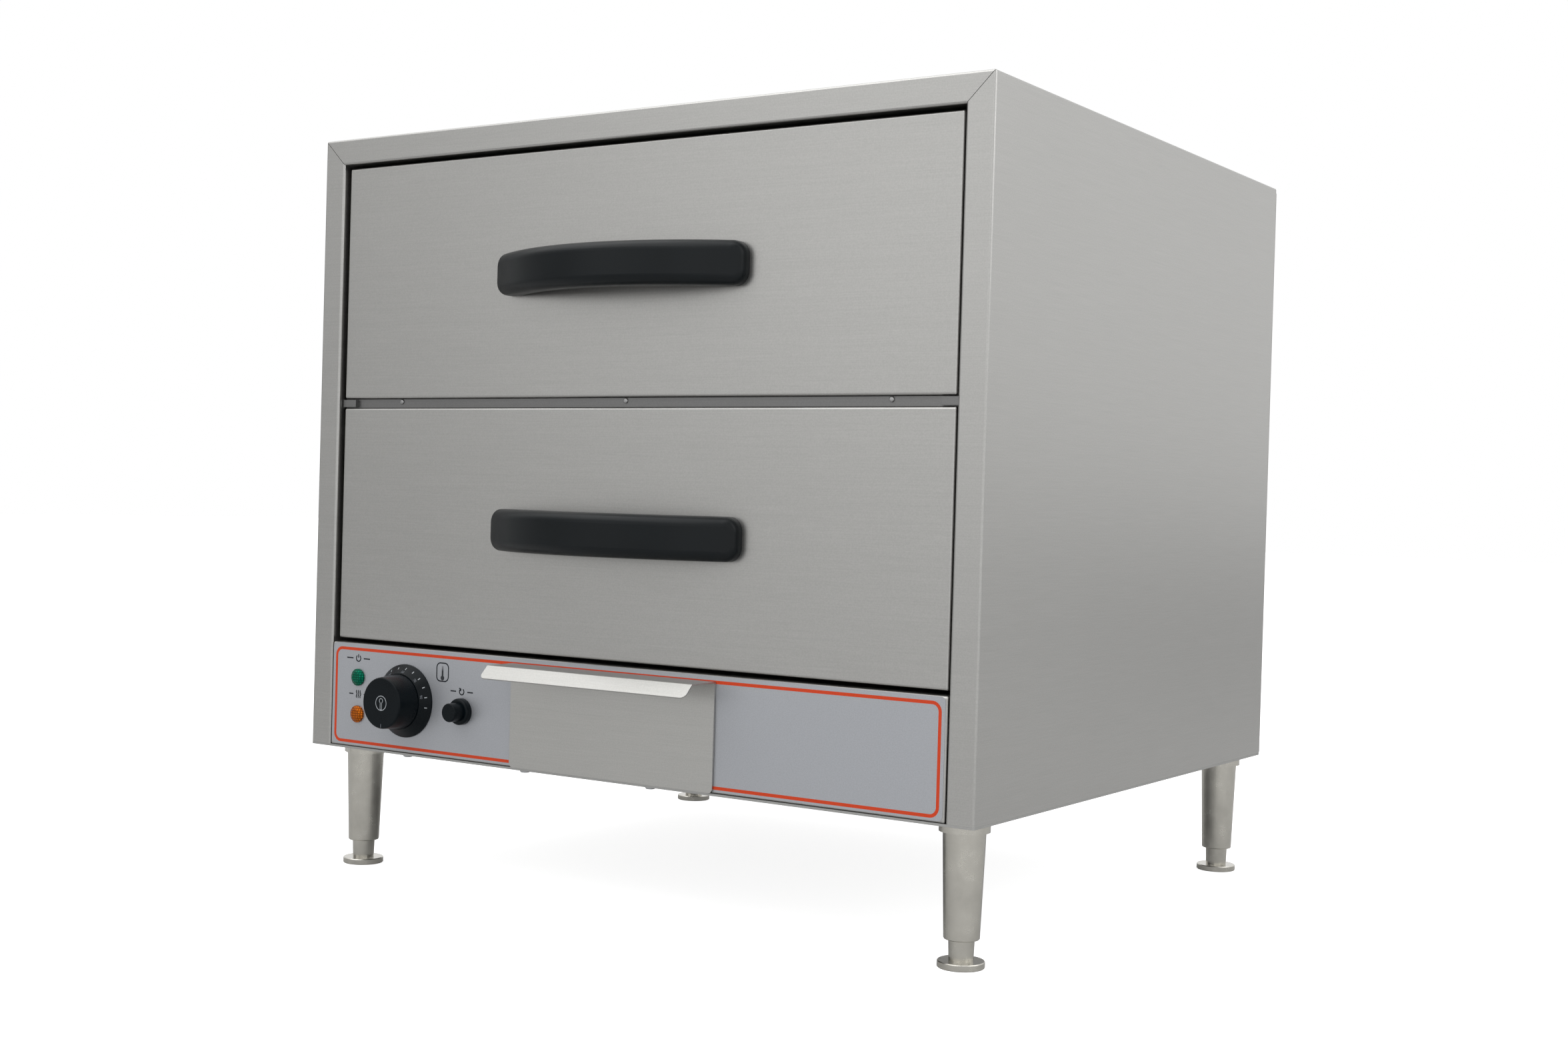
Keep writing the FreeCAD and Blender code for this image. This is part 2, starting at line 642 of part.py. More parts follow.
def cavity_floor():
    """Slotted deck between the lower compartment and the heated cavity."""
    x = INSIDE_X - FIT
    front = PANEL_DEPTH + DECK_FRONT_GAP
    rear = CABINET_DEPTH - SHEET - SEAT
    deck = [block(-x, x, front, rear, DECK_UNDER, DECK_TOP)]
    for side in (-1, 1):
        x0, x1 = sorted((side * x, side * (x - SHEET)))
        deck.append(block(x0, x1, front, rear, DECK_UNDER - DECK_FLANGE, DECK_UNDER))
    cuts = []
    width, depth = DECK_SLOT
    columns, rows = DECK_SLOT_COUNT
    for column in range(columns):
        slot_x = (column - (columns - 1) / 2) * DECK_SLOT_PITCH[0]
        for row in range(rows):
            slot_y = DECK_SLOT_START + row * DECK_SLOT_PITCH[1]
            cuts.append(block(slot_x - width / 2, slot_x + width / 2, slot_y, slot_y + depth,
                              DECK_UNDER - OVERCUT, DECK_TOP + OVERCUT))
    bulb_x = bulb_place()[0]
    cuts.append(rod_z(bulb_x, CAPILLARY_BACK, DECK_UNDER - OVERCUT, DECK_TOP + OVERCUT, BULB_R))
    return minus(joined(deck), cuts)


def middle_rail():
    """Cross rail between the drawers, with a nose that fills the gap between their fronts."""
    middle = LOWER_FRONT + FRONT_HEIGHT + RAIL_GAP / 2
    front = COVER_BACK + RAIL_BACK_GAP
    low = middle - RAIL_HEIGHT / 2
    high = middle + RAIL_HEIGHT / 2
    back = front + RAIL_FLANGE
    channel = block(-LINER_IN_X, LINER_IN_X, front, back, low, high)
    hollow = block(-HALF, HALF, front + SHEET, back + OVERCUT, low + SHEET, high - SHEET)
    half_nose = RAIL_GAP / 2 - NOSE_CLEARANCE
    nose_x = OPEN_X - NOSE_END_GAP
    nose_front = FRONT_RECESS + NOSE_SETBACK
    nose = block(-nose_x, nose_x, nose_front, front, middle - half_nose, middle + half_nose)
    nose_hollow = block(-HALF, HALF, nose_front + SHEET, front, middle - half_nose + SHEET,
                        middle + half_nose - SHEET)
    pieces = [channel.cut(hollow), nose.cut(nose_hollow)]
    for side in (-1, 1):
        x0, x1 = sorted((side * nose_x, side * (nose_x - TAB_WIDTH)))
        pieces.append(block(x0, x1, FRONT_RECESS + TAB_SETBACK, nose_front,
                            middle - half_nose + TAB_TRIM, middle + half_nose - TAB_TRIM))
    return joined(pieces)


# ---------------------------------------------------------------- control panel
def control_panel():
    """Steel fascia, folded back on all sides, with holes for the controls and the tray."""
    panel = folded_front(-PANEL_X, PANEL_X, 0, PANEL_DEPTH, PANEL_LOW, PANEL_TOP, FRONT_CORNER)
    cuts = [rod_y(DIAL_X, DIAL_Z, -OVERCUT, SHEET + OVERCUT, BUSH_R + BUSH_CLEARANCE)]
    for lamp_z in LAMP_ZS:
        cuts.append(rod_y(LAMP_X, lamp_z, -OVERCUT, SHEET + OVERCUT, LAMP_STEM_R + SCREW_CLEARANCE))
    cuts.append(rod_y(RESET_X, RESET_Z, -OVERCUT, SHEET + OVERCUT, COLLAR_NECK_R + SCREW_CLEARANCE))
    cuts.append(tray_slot(-OVERCUT, SHEET + OVERCUT, 0))
    for x, y in base_screw_places():
        cuts.append(rod_z(x, y, PANEL_LOW - OVERCUT, PANEL_LOW + SHEET + OVERCUT,
                          BASE_SCREW_R + SCREW_CLEARANCE))
    return minus(panel, cuts)


def tray_slot(y0, y1, margin):
    """Cutter for the hole that the water tray's pan slides through."""
    x = TRAY_SLOT_X + margin
    low = TRAY_PAN_LOW - TRAY_SLOT_MARGIN - margin
    high = TRAY_PAN_TOP + TRAY_SLOT_MARGIN + margin
    return block(TRAY_OFFSET - x, TRAY_OFFSET + x, y0, y1, low, high)


def panel_overlay():
    """Printed foil on the fascia."""
    x = PANEL_X - OVERLAY_INSET
    foil = block(-x, x, -OVERLAY, 0, PANEL_LOW + OVERLAY_INSET, PANEL_TOP - OVERLAY_TOP_INSET)
    foil = rounded(foil, OVERLAY_CORNER, edges_at(foil, (0, 1, 0)))
    y0 = -OVERLAY - OVERCUT
    cuts = [rod_y(DIAL_X, DIAL_Z, y0, OVERCUT, BUSH_R + BUSH_CLEARANCE)]
    for lamp_z in LAMP_ZS:
        cuts.append(rod_y(LAMP_X, lamp_z, y0, OVERCUT, LAMP_STEM_R + SCREW_CLEARANCE))
    cuts.append(rod_y(RESET_X, RESET_Z, y0, OVERCUT, COLLAR_NECK_R + SCREW_CLEARANCE))
    cuts.append(tray_slot(y0, OVERCUT, OVERLAY))
    return minus(foil, cuts)


def dial_bezel():
    """Fixed cone round the knob that carries the temperature scale."""
    back = -OVERLAY
    rim = back - BEZEL_RIM
    crown = back - BEZEL_HEIGHT
    ring = joined([
        rod_y(DIAL_X, DIAL_Z, rim, back, BEZEL_R),
        cone_y(DIAL_X, DIAL_Z, crown, rim, BEZEL_TOP_R, BEZEL_R),
    ])
    well = rod_y(DIAL_X, DIAL_Z, crown - OVERCUT, rim, BEZEL_WELL_R)
    hole = rod_y(DIAL_X, DIAL_Z, rim - OVERCUT, OVERCUT, BUSH_R + BUSH_CLEARANCE)
    return minus(ring, [well, hole])


def knob():
    """Round control knob with a pointer mark at its lower edge."""
    back = -OVERLAY - BEZEL_HEIGHT - KNOB_GAP
    face = back - KNOB_HEIGHT
    body = cone_y(DIAL_X, DIAL_Z, face, back, KNOB_FACE_R, KNOB_BASE_R)
    face_rim = [edge for edge in body.Edges if near(edge.BoundBox.YMax, face)]
    body = rounded(body, KNOB_EDGE, face_rim)
    hub = rod_y(DIAL_X, DIAL_Z, back, -OVERLAY - BEZEL_RIM - KNOB_GAP, KNOB_HUB_R)
    mark_top = DIAL_Z - KNOB_FACE_R + KNOB_MARK_INSET + KNOB_MARK_LENGTH
    mark = block(DIAL_X - KNOB_MARK_WIDTH / 2, DIAL_X + KNOB_MARK_WIDTH / 2, face - OVERCUT,
                 face + KNOB_MARK_DEPTH, mark_top - KNOB_MARK_LENGTH, mark_top)
    bore = rod_y(DIAL_X, DIAL_Z, back - SHAFT_IN_KNOB, OVERCUT, SHAFT_R)
    return minus(joined([body, hub]), [mark, bore])


def knob_shaft():
    back = -OVERLAY - BEZEL_HEIGHT - KNOB_GAP
    return rod_y(DIAL_X, DIAL_Z, back - SHAFT_IN_KNOB, SHEET + SHAFT_IN_BODY, SHAFT_R)


def thermostat_body():
    """Capillary thermostat behind the panel, with the bush that the shaft turns in."""
    width, depth, height = THERMOSTAT_SIZE
    case = block(DIAL_X - width / 2, DIAL_X + width / 2, SHEET, SHEET + depth,
                 DIAL_Z - height / 2, DIAL_Z + height / 2)
    case = rounded(case, BEND_RADIUS, edges_at(case, (0, 1, 0)))
    bush = rod_y(DIAL_X, DIAL_Z, 0, SHEET, BUSH_R)
    bore = rod_y(DIAL_X, DIAL_Z, -OVERCUT, SHEET + SHAFT_IN_BODY + SEAT, SHAFT_R + FIT)
    return joined([case, bush]).cut(bore)


def bulb_place():
    """Where the sensing bulb lies along the cavity's left wall."""
    return -LINER_IN_X + SEAT + BULB_R, DECK_TOP + BULB_RISE


def thermostat_bulb():
    """Sensing bulb with its capillary tube down to the thermostat."""
    x, z = bulb_place()
    start = CAPILLARY_BACK + 2 * CAPILLARY_BEND
    bulb = rod_y(x, z, start, start + BULB_LENGTH, BULB_R)
    bulb = rounded(bulb, BULB_ROUND, [edge for edge in bulb.Edges if isinstance(edge.Curve, Part.Circle)])
    level = DECK_UNDER - 2 * CAPILLARY_BEND
    body_back = SHEET + THERMOSTAT_SIZE[1]
    tube = round_tube([
        (x, start + BULB_R, z),
        (x, CAPILLARY_BACK, z),
        (x, CAPILLARY_BACK, level),
        (DIAL_X, CAPILLARY_BACK, level),
        (DIAL_X, CAPILLARY_BACK, DIAL_Z),
        (DIAL_X, body_back, DIAL_Z),
    ], CAPILLARY_R, CAPILLARY_BEND)
    return joined([bulb, tube])


def lens(lamp_z):
    """Faceted lamp lens on a plain round base."""
    back = -OVERLAY
    shoulder = back - LENS_BASE
    crown = back - LENS_HEIGHT
    base = rod_y(LAMP_X, lamp_z, shoulder, back, LENS_R)
    low_ring = facet_ring(lamp_z, shoulder, LENS_R)
    top_ring = facet_ring(lamp_z, crown, LENS_TOP_R)
    return joined([base, Part.makeLoft([low_ring, top_ring], True, True)])


def facet_ring(lamp_z, y, radius):
    points = []
    for corner in range(LENS_FACETS + 1):
        angle = 2 * math.pi * (corner % LENS_FACETS) / LENS_FACETS
        points.append(Vector(LAMP_X + radius * math.cos(angle), y, lamp_z + radius * math.sin(angle)))
    return Part.makePolygon(points)


def lamp_bodies():
    """Lamp holders clamped behind the panel by their nuts."""
    bodies = []
    for lamp_z in LAMP_ZS:
        stem = rod_y(LAMP_X, lamp_z, -OVERLAY, LAMP_LENGTH, LAMP_STEM_R)
        nut = rod_y(LAMP_X, lamp_z, SHEET, SHEET + LAMP_NUT, LAMP_NUT_R)
        bodies.append(joined([stem, nut]))
    return Part.Compound(bodies)


def reset_collar():
    """Black bush round the reset button."""
    face = -OVERLAY - COLLAR_HEIGHT
    body = rod_y(RESET_X, RESET_Z, face, -OVERLAY, COLLAR_R)
    body = rounded(body, COLLAR_ROUND, [edge for edge in body.Edges if near(edge.BoundBox.YMax, face)])
    neck = rod_y(RESET_X, RESET_Z, -OVERLAY, SHEET, COLLAR_NECK_R)
    bore = rod_y(RESET_X, RESET_Z, face - OVERCUT, SHEET + OVERCUT, BUTTON_R + FIT)
    return joined([body, neck]).cut(bore)


def reset_button():
    end = -BUTTON_REACH
    button = rod_y(RESET_X, RESET_Z, end, BUTTON_INSIDE, BUTTON_R)
    return rounded(button, BUTTON_ROUND, [edge for edge in button.Edges if near(edge.BoundBox.YMax, end)])


def reset_limiter():
    """High-limit switch behind the panel, with the well for the button and its spring."""
    width, depth, height = LIMITER_SIZE
    case = block(RESET_X - width / 2, RESET_X + width / 2, SHEET, SHEET + depth,
                 RESET_Z - height / 2, RESET_Z + height / 2)
    return case.cut(rod_y(RESET_X, RESET_Z, 0, LIMITER_WELL, BUTTON_R + FIT))


def reset_spring():
    """Compression spring between the button and the bottom of the limiter's well."""
    start = BUTTON_INSIDE + SEAT + SPRING_WIRE_R
    length = LIMITER_WELL - SEAT - SPRING_WIRE_R - start
    helix = Part.makeHelix(length / SPRING_TURNS, length, SPRING_R)
    corners = []
    for side in range(SPRING_WIRE_SIDES + 1):
        turn = 2 * math.pi * side / SPRING_WIRE_SIDES
        corners.append(Vector(SPRING_R + SPRING_WIRE_R * math.cos(turn), 0, SPRING_WIRE_R * math.sin(turn)))
    coil = Part.Wire(helix.Edges).makePipeShell([Part.makePolygon(corners)], True, True)
    coil.Placement = FreeCAD.Placement(Vector(RESET_X, start, RESET_Z),
                                       Rotation(Vector(0, 0, 1), Vector(0, 1, 0)))
    return coil


# ---------------------------------------------------------------- water tray
def tray_front():
    """Tray's cover plate with the pull lip folded out of its top edge."""
    face = -TRAY_PROUD
    fold = -OVERLAY - SEAT
    plate = block(TRAY_LEFT, TRAY_RIGHT, face, fold, TRAY_LOW, TRAY_TOP)
    plate = rounded(plate, TRAY_CORNER, edges_at(plate, (0, 1, 0), z=TRAY_LOW))
    hollow = block(TRAY_LEFT + SHEET, TRAY_RIGHT - SHEET, TRAY_BACK_FACE, fold + OVERCUT,
                   TRAY_LOW + TRAY_CORNER, TRAY_TOP - SHEET)
    lip = block(TRAY_LEFT, TRAY_RIGHT, -LIP_REACH, face, TRAY_TOP - SHEET, TRAY_TOP)
    shape = joined([plate.cut(hollow), lip, lip_flange()])
    return rounded(shape, SHEET, edges_at(shape, (1, 0, 0), y=-LIP_REACH, z=TRAY_TOP))


def lip_flange():
    """Sloping front edge of the lip, with rounded lower corners."""
    flange = block(TRAY_LEFT, TRAY_RIGHT, -LIP_DROP, 0, -SHEET, 0)
    flange = rounded(flange, LIP_CORNER, edges_at(flange, (0, 0, 1), y=-LIP_DROP))
    flange.rotate(Vector(0, 0, 0), Vector(1, 0, 0), LIP_SLOPE)
    flange.translate(Vector(0, -LIP_REACH, TRAY_TOP))
    return flange


def tray_pan():
    """Water pan with a rim on each side that runs in the guides."""
    left = TRAY_OFFSET - TRAY_PAN_X
    right = TRAY_OFFSET + TRAY_PAN_X
    front = TRAY_BACK_FACE
    back = front + TRAY_PAN_LENGTH
    pan = block(left, right, front, back, TRAY_PAN_LOW, TRAY_PAN_TOP)
    pan = rounded(pan, TRAY_CORNER, edges_at(pan, (0, 0, 1)))
    inner = block(left + LINER_SHEET, right - LINER_SHEET, front + LINER_SHEET, back - LINER_SHEET,
                  TRAY_PAN_LOW + LINER_SHEET, TRAY_PAN_TOP + OVERCUT)
    inner = rounded(inner, TRAY_CORNER - LINER_SHEET, edges_at(inner, (0, 0, 1)))
    pieces = [pan.cut(inner)]
    for side in (-1, 1):
        x0, x1 = sorted((TRAY_OFFSET + side * TRAY_PAN_X, TRAY_OFFSET + side * TRAY_RIM_X))
        pieces.append(block(x0, x1, GUIDE_FRONT, back - TRAY_CORNER, TRAY_PAN_TOP - LINER_SHEET, TRAY_PAN_TOP))
    return joined(pieces)


def tray_guides():
    """Two channels that stand on the base plate and carry the tray's rims."""
    guides = []
    y0 = GUIDE_FRONT
    y1 = GUIDE_FRONT + GUIDE_LENGTH
    under = TRAY_PAN_TOP - LINER_SHEET - SEAT
    over = TRAY_PAN_TOP + SEAT
    for side in (-1, 1):
        def span(inner, outer):
            return sorted((TRAY_OFFSET + side * inner, TRAY_OFFSET + side * outer))
        web = span(GUIDE_X, GUIDE_X + SHEET)
        ledge = span(GUIDE_X - GUIDE_LEDGE, GUIDE_X)
        foot = span(GUIDE_X + SHEET, GUIDE_X + GUIDE_FOOT)
        guides.append(joined([
            block(*web, y0, y1, BASE_TOP, over + SHEET),
            block(*ledge, y0, y1, under - SHEET, under),
            block(*ledge, y0, y1, over, over + SHEET),
            block(*foot, y0, y1, BASE_TOP, BASE_TOP + SHEET),
        ]))
    return Part.Compound(guides)


# ---------------------------------------------------------------- lower compartment
def element_leg_xs():
    """Middles of the element's straight runs, from left to right."""
    runs = 2 * ELEMENT_HAIRPINS
    return [TRAY_OFFSET + (run - (runs - 1) / 2) * ELEMENT_PITCH for run in range(runs)]


def heating_element():
    """Tubular element bent to and fro under the water tray."""
    z = BASE_TOP + ELEMENT_RISE
    xs = element_leg_xs()
    bend = ELEMENT_PITCH / 2
    last = len(xs) - 1
    edges = []
    for run, x in enumerate(xs):
        back = ELEMENT_END if run in (0, last) else ELEMENT_BEND_BACK
        start, end = (back, ELEMENT_FRONT) if run % 2 == 0 else (ELEMENT_FRONT, back)
        edges.append(Part.LineSegment(Vector(x, start, z), Vector(x, end, z)))
        if run < last:
            crown = end - bend if end < start else end + bend
            edges.append(Part.Arc(Vector(x, end, z), Vector(x + bend, crown, z), Vector(xs[run + 1], end, z)))
    path = Part.Wire([edge.toShape() for edge in edges])
    profile = Part.Wire([Part.makeCircle(ELEMENT_R, Vector(xs[0], ELEMENT_END, z), Vector(0, 1, 0))])
    pieces = [path.makePipeShell([profile], True, True)]
    for x in (xs[0], xs[last]):
        pieces.append(rod_y(x, z, ELEMENT_END, ELEMENT_END + ELEMENT_PIN, ELEMENT_PIN_R))
    return joined(pieces)


def element_brackets():
    """Notched bars across the base that hold the element's runs."""
    z = BASE_TOP + ELEMENT_RISE
    xs = element_leg_xs()
    bars = []
    for y in BRACKET_PLACES:
        bar = block(xs[0] - BRACKET_OVERHANG, xs[-1] + BRACKET_OVERHANG, y, y + BRACKET_THICKNESS,
                    BASE_TOP, z)
        notches = [rod_y(x, z, y - OVERCUT, y + BRACKET_THICKNESS + OVERCUT, ELEMENT_R + FIT) for x in xs]
        bars.append(minus(bar, notches))
    return Part.Compound(bars)


def terminal_block():
    width, depth, height = TERMINAL_SIZE
    x = HALF - TERMINAL_FROM_SIDE
    y = CABINET_DEPTH - TERMINAL_FROM_BACK
    body = block(x, x + width, y, y + depth, BASE_TOP, BASE_TOP + height)
    wells = []
    for pole in range(TERMINAL_POLES):
        pole_x = x + width * (pole + 0.5) / TERMINAL_POLES
        wells.append(rod_z(pole_x, y + depth / 2, BASE_TOP + height - TERMINAL_WELL,
                           BASE_TOP + height + OVERCUT, TERMINAL_WELL_R))
    return minus(body, wells)


def cable_gland():
    """Gland in the back panel where the supply cord enters."""
    nut_place = (GLAND_X, CABINET_DEPTH - GLAND_LOCKNUT, GLAND_Z)
    inner_nut = hexagon(nut_place, (0, 1, 0), GLAND_HEX, GLAND_LOCKNUT)
    thread_start = CABINET_DEPTH - GLAND_LOCKNUT - GLAND_TAIL
    thread = rod_y(GLAND_X, GLAND_Z, thread_start, BACK_FACE, GLAND_THREAD_R)
    collar = hexagon((GLAND_X, BACK_FACE, GLAND_Z), (0, 1, 0), GLAND_HEX, GLAND_COLLAR)
    dome = cone_y(GLAND_X, GLAND_Z, BACK_FACE + GLAND_COLLAR, GLAND_END, GLAND_DOME_R, GLAND_MOUTH_R)
    bore = rod_y(GLAND_X, GLAND_Z, thread_start - OVERCUT, GLAND_END + OVERCUT, GLAND_BORE_R)
    return joined([inner_nut, thread, collar, dome]).cut(bore)


# ---------------------------------------------------------------- legs and feet
def leg(x, y, flat_angle):
    """Tapered leg with a collar that has two wrench flats, and a stud on top."""
    collar_low = LEG_HEIGHT - COLLAR_LEG_HEIGHT
    collar = rod_z(x, y, collar_low, LEG_HEIGHT, COLLAR_LEG_R)
    flats = []
    for turn in (flat_angle, flat_angle + 180):
        cutter = block(FLAT_OFFSET, COLLAR_LEG_R + OVERCUT, -COLLAR_LEG_R, COLLAR_LEG_R,
                       collar_low - OVERCUT, collar_low + FLAT_HEIGHT)
        cutter.rotate(Vector(0, 0, 0), Vector(0, 0, 1), turn)
        cutter.translate(Vector(x, y, 0))
        flats.append(cutter)
    body = Part.makeCone(LEG_FOOT_R, LEG_TOP_R, collar_low - SLEEVE_LOW, Vector(x, y, SLEEVE_LOW))
    body = rounded(body, LEG_ROUND, [edge for edge in body.Edges if near(edge.BoundBox.ZMax, SLEEVE_LOW)])
    stud = rod_z(x, y, LEG_HEIGHT, LEG_HEIGHT + STUD_LENGTH, STUD_R)
    bore = rod_z(x, y, SLEEVE_LOW - OVERCUT, LEG_HEIGHT - BORE_TOP_GAP, STEM_R + FIT)
    return joined([minus(collar, flats), body, stud]).cut(bore)


def foot(x, y):
    """Screw-in foot: a disc, a slightly tapered stem and the part inside the leg."""
    disc = rod_z(x, y, 0, FOOT_HEIGHT, FOOT_R)
    rims = [edge for edge in disc.Edges if isinstance(edge.Curve, Part.Circle)]
    disc = disc.makeChamfer(FOOT_CHAMFER, rims)
    stem = Part.makeCone(STEM_FOOT_R, STEM_R, SLEEVE_LOW - FOOT_HEIGHT, Vector(x, y, FOOT_HEIGHT))
    inside = rod_z(x, y, SLEEVE_LOW, SLEEVE_LOW + STEM_INSIDE, STEM_R)
    return joined([disc, stem, inside])


def leg_nuts():
    nuts = []
    for x, y in LEG_PLACES.values():
        nut = hexagon((x, y, BASE_TOP), (0, 0, 1), NUT_FLATS, NUT_HEIGHT)
        nuts.append(nut.cut(rod_z(x, y, BASE_TOP - OVERCUT, BASE_TOP + NUT_HEIGHT + OVERCUT, STUD_R + FIT)))
    return Part.Compound(nuts)


# ---------------------------------------------------------------- drawers
def drawer_front(low):
    """Folded outer skin of a drawer front."""
    skin = folded_front(-FRONT_X, FRONT_X, FRONT_RECESS, FRONT_DEPTH, low, low + FRONT_HEIGHT, FRONT_CORNER)
    y1 = FRONT_RECESS + SHEET + OVERCUT
    radius = HANDLE_SCREW_R + SCREW_CLEARANCE
    holes = [rod_y(x, z, FRONT_RECESS - OVERCUT, y1, radius) for x, z in handle_screw_places(low)]
    return minus(skin, holes)


def front_cover(low):
    """Flat inner plate that closes the back of a drawer front."""
    return block(-FRONT_X, FRONT_X, FRONT_BACK, COVER_BACK, low + SHEET, low + FRONT_HEIGHT - SHEET)


def drawer_frame(low):
    """Folded frame behind the front: four walls and a shelf with the pan's hole."""
    z0 = low + FRAME_LOW
    z1 = z0 + FRAME_HEIGHT
    outer = block(-FRAME_X, FRAME_X, COVER_BACK, FRAME_BACK, z0, z1)
    inner = block(-FRAME_X + SHEET, FRAME_X - SHEET, COVER_BACK + SHEET, FRAME_BACK - SHEET,
                  z0 - OVERCUT, z1 - SHEET)
    hole = block(-PAN_HOLE_X, PAN_HOLE_X, PAN_HOLE_FRONT, PAN_HOLE_BACK, z1 - 2 * SHEET, z1 + OVERCUT)
    hole = rounded(hole, PAN_CORNER, edges_at(hole, (0, 0, 1)))
    return minus(outer, [inner, hole])


def food_pan(low):
    """Lift-out pan that hangs in the frame by its rim."""
    shelf = low + FRAME_LOW + FRAME_HEIGHT
    x = PAN_HOLE_X - PAN_CLEARANCE
    y0 = PAN_HOLE_FRONT + PAN_CLEARANCE
    y1 = PAN_HOLE_BACK - PAN_CLEARANCE
    rim = block(-x - PAN_RIM, x + PAN_RIM, y0 - PAN_RIM, y1 + PAN_RIM, shelf, shelf + PAN_SHEET)
    rim = rounded(rim, PAN_CORNER, edges_at(rim, (0, 0, 1)))
    floor = shelf - PAN_DEPTH
    body = pan_block(x, y0, y1, floor, shelf + PAN_SHEET, PAN_CORNER, PAN_FLOOR_RADIUS)
    hollow = pan_block(x - PAN_SHEET, y0 + PAN_SHEET, y1 - PAN_SHEET, floor + PAN_SHEET,
                       shelf + PAN_SHEET + OVERCUT, PAN_CORNER - PAN_SHEET, PAN_FLOOR_RADIUS - PAN_SHEET)
    return joined([rim, body]).cut(hollow)


def pan_block(x, y0, y1, z0, z1, corner, floor_radius):
    """Block with rounded upright corners and a rounded floor edge."""
    shape = block(-x, x, y0, y1, z0, z1)
    shape = rounded(shape, corner, edges_at(shape, (0, 0, 1)))
    floor_edges = [edge for edge in shape.Edges if near(edge.BoundBox.ZMax, z0)]
    return rounded(shape, floor_radius, floor_edges)


def handle_middle(low):
    return low + FRONT_HEIGHT / 2


def handle_screw_places(low):
    x = HANDLE_LENGTH / 2 - HANDLE_SCREW_INSET
    return [(-x, handle_middle(low)), (x, handle_middle(low))]


def handle_outline(low):
    """Block with the handle's outline as seen from the front, as deep as its reach."""
    half = HANDLE_LENGTH / 2
    middle = handle_middle(low)
    shape = block(-half, half, HANDLE_CROWN - OVERCUT, FRONT_RECESS,
                  middle - HANDLE_HEIGHT / 2, middle + HANDLE_HEIGHT / 2)
    return rounded(shape, HANDLE_CORNER, edges_at(shape, (0, 1, 0)))


def bow(half, end_y, crown_y, low_z):
    """Arc across the handle, seen from above, from end to end through its crown."""
    crown = Vector(0, crown_y, low_z)
    return Part.Arc(Vector(-half, end_y, low_z), crown, Vector(half, end_y, low_z)).toShape()


def bowed_solid(wire, low):
    """The outline's share of an upright extrusion."""
    upright = Part.Face(wire).extrude(Vector(0, 0, HANDLE_HEIGHT))
    return upright.common(handle_outline(low))


def bow_face_edges(shape, crown_y, low):
    """Edges round the curved face that passes through the crown."""
    crown = Part.Vertex(Vector(0, crown_y, handle_middle(low)))
    faces = [face for face in shape.Faces if face.distToShape(crown)[0] < SAME]
    return faces[0].Edges


def handle_body(low):
    """Outside of the whole bow handle, before it is split into its two shells."""
    half = HANDLE_LENGTH / 2
    z = handle_middle(low) - HANDLE_HEIGHT / 2
    arc_end = FRONT_RECESS - HANDLE_END
    wire = Part.Wire([
        bow(half, arc_end, HANDLE_CROWN, z),
        Part.LineSegment(Vector(half, arc_end, z), Vector(half, FRONT_RECESS, z)).toShape(),
        Part.LineSegment(Vector(half, FRONT_RECESS, z), Vector(-half, FRONT_RECESS, z)).toShape(),
        Part.LineSegment(Vector(-half, FRONT_RECESS, z), Vector(-half, arc_end, z)).toShape(),
    ])
    shape = bowed_solid(wire, low)
    radius = min(GRIP_ROUND, HANDLE_END - GRIP_LAND)
    return rounded(shape, radius, bow_face_edges(shape, HANDLE_CROWN, low))


def under_bow(arc, places, z):
    """Cutter as high as the handle, between an arc and the straight sides that close it."""
    corners = [Vector(*place, z) for place in places]
    sides = [Part.LineSegment(start, end).toShape() for start, end in zip(corners, corners[1:])]
    return Part.Face(Part.Wire([arc] + sides)).extrude(Vector(0, 0, HANDLE_HEIGHT + 2 * OVERCUT))


def ahead_of_seam(low, gap):
    """Everything in front of the seam between the shells, less an open joint."""
    half = HANDLE_LENGTH / 2
    z = handle_middle(low) - HANDLE_HEIGHT / 2 - OVERCUT
    end = FRONT_RECESS - HANDLE_SEAM - gap
    crown = HANDLE_CROWN + GRIP_THICKNESS - BACK_SHELL - gap
    x = half + OVERCUT
    y = HANDLE_CROWN - OVERCUT
    places = [(half, end), (x, end), (x, y), (-x, y), (-x, end), (-half, end)]
    return under_bow(bow(half, end, crown, z), places, z)


def handle_grip(low):
    """Moulded outer shell of the bow handle."""
    return handle_body(low).common(ahead_of_seam(low, HANDLE_SEAM_GAP))


def finger_gap(low):
    """Room for the fingers behind the handle, between its feet."""
    gap_half = HANDLE_LENGTH / 2 - HANDLE_FOOT
    z = handle_middle(low) - HANDLE_HEIGHT / 2 - OVERCUT
    crown = HANDLE_CROWN + GRIP_THICKNESS
    y = FRONT_RECESS + OVERCUT
    places = [(gap_half, FRONT_RECESS), (gap_half, y), (-gap_half, y), (-gap_half, FRONT_RECESS)]
    return under_bow(bow(gap_half, FRONT_RECESS, crown, z), places, z)


def handle_back(low):
    """Inner shell of the handle, with a foot at each end that stands on the drawer front."""
    shape = handle_body(low).cut(ahead_of_seam(low, 0)).cut(finger_gap(low))
    gap_crown = HANDLE_CROWN + GRIP_THICKNESS
    long_edges = [edge for edge in bow_face_edges(shape, gap_crown, low) if not along(edge, (0, 0, 1))]
    shape = rounded(shape, BACK_ROUND, long_edges)
    bite = FRONT_RECESS - HANDLE_SCREW_BITE - SEAT
    holes = [rod_y(x, screw_z, bite, FRONT_RECESS + OVERCUT, HANDLE_SCREW_R + FIT)
             for x, screw_z in handle_screw_places(low)]
    return minus(shape, holes)


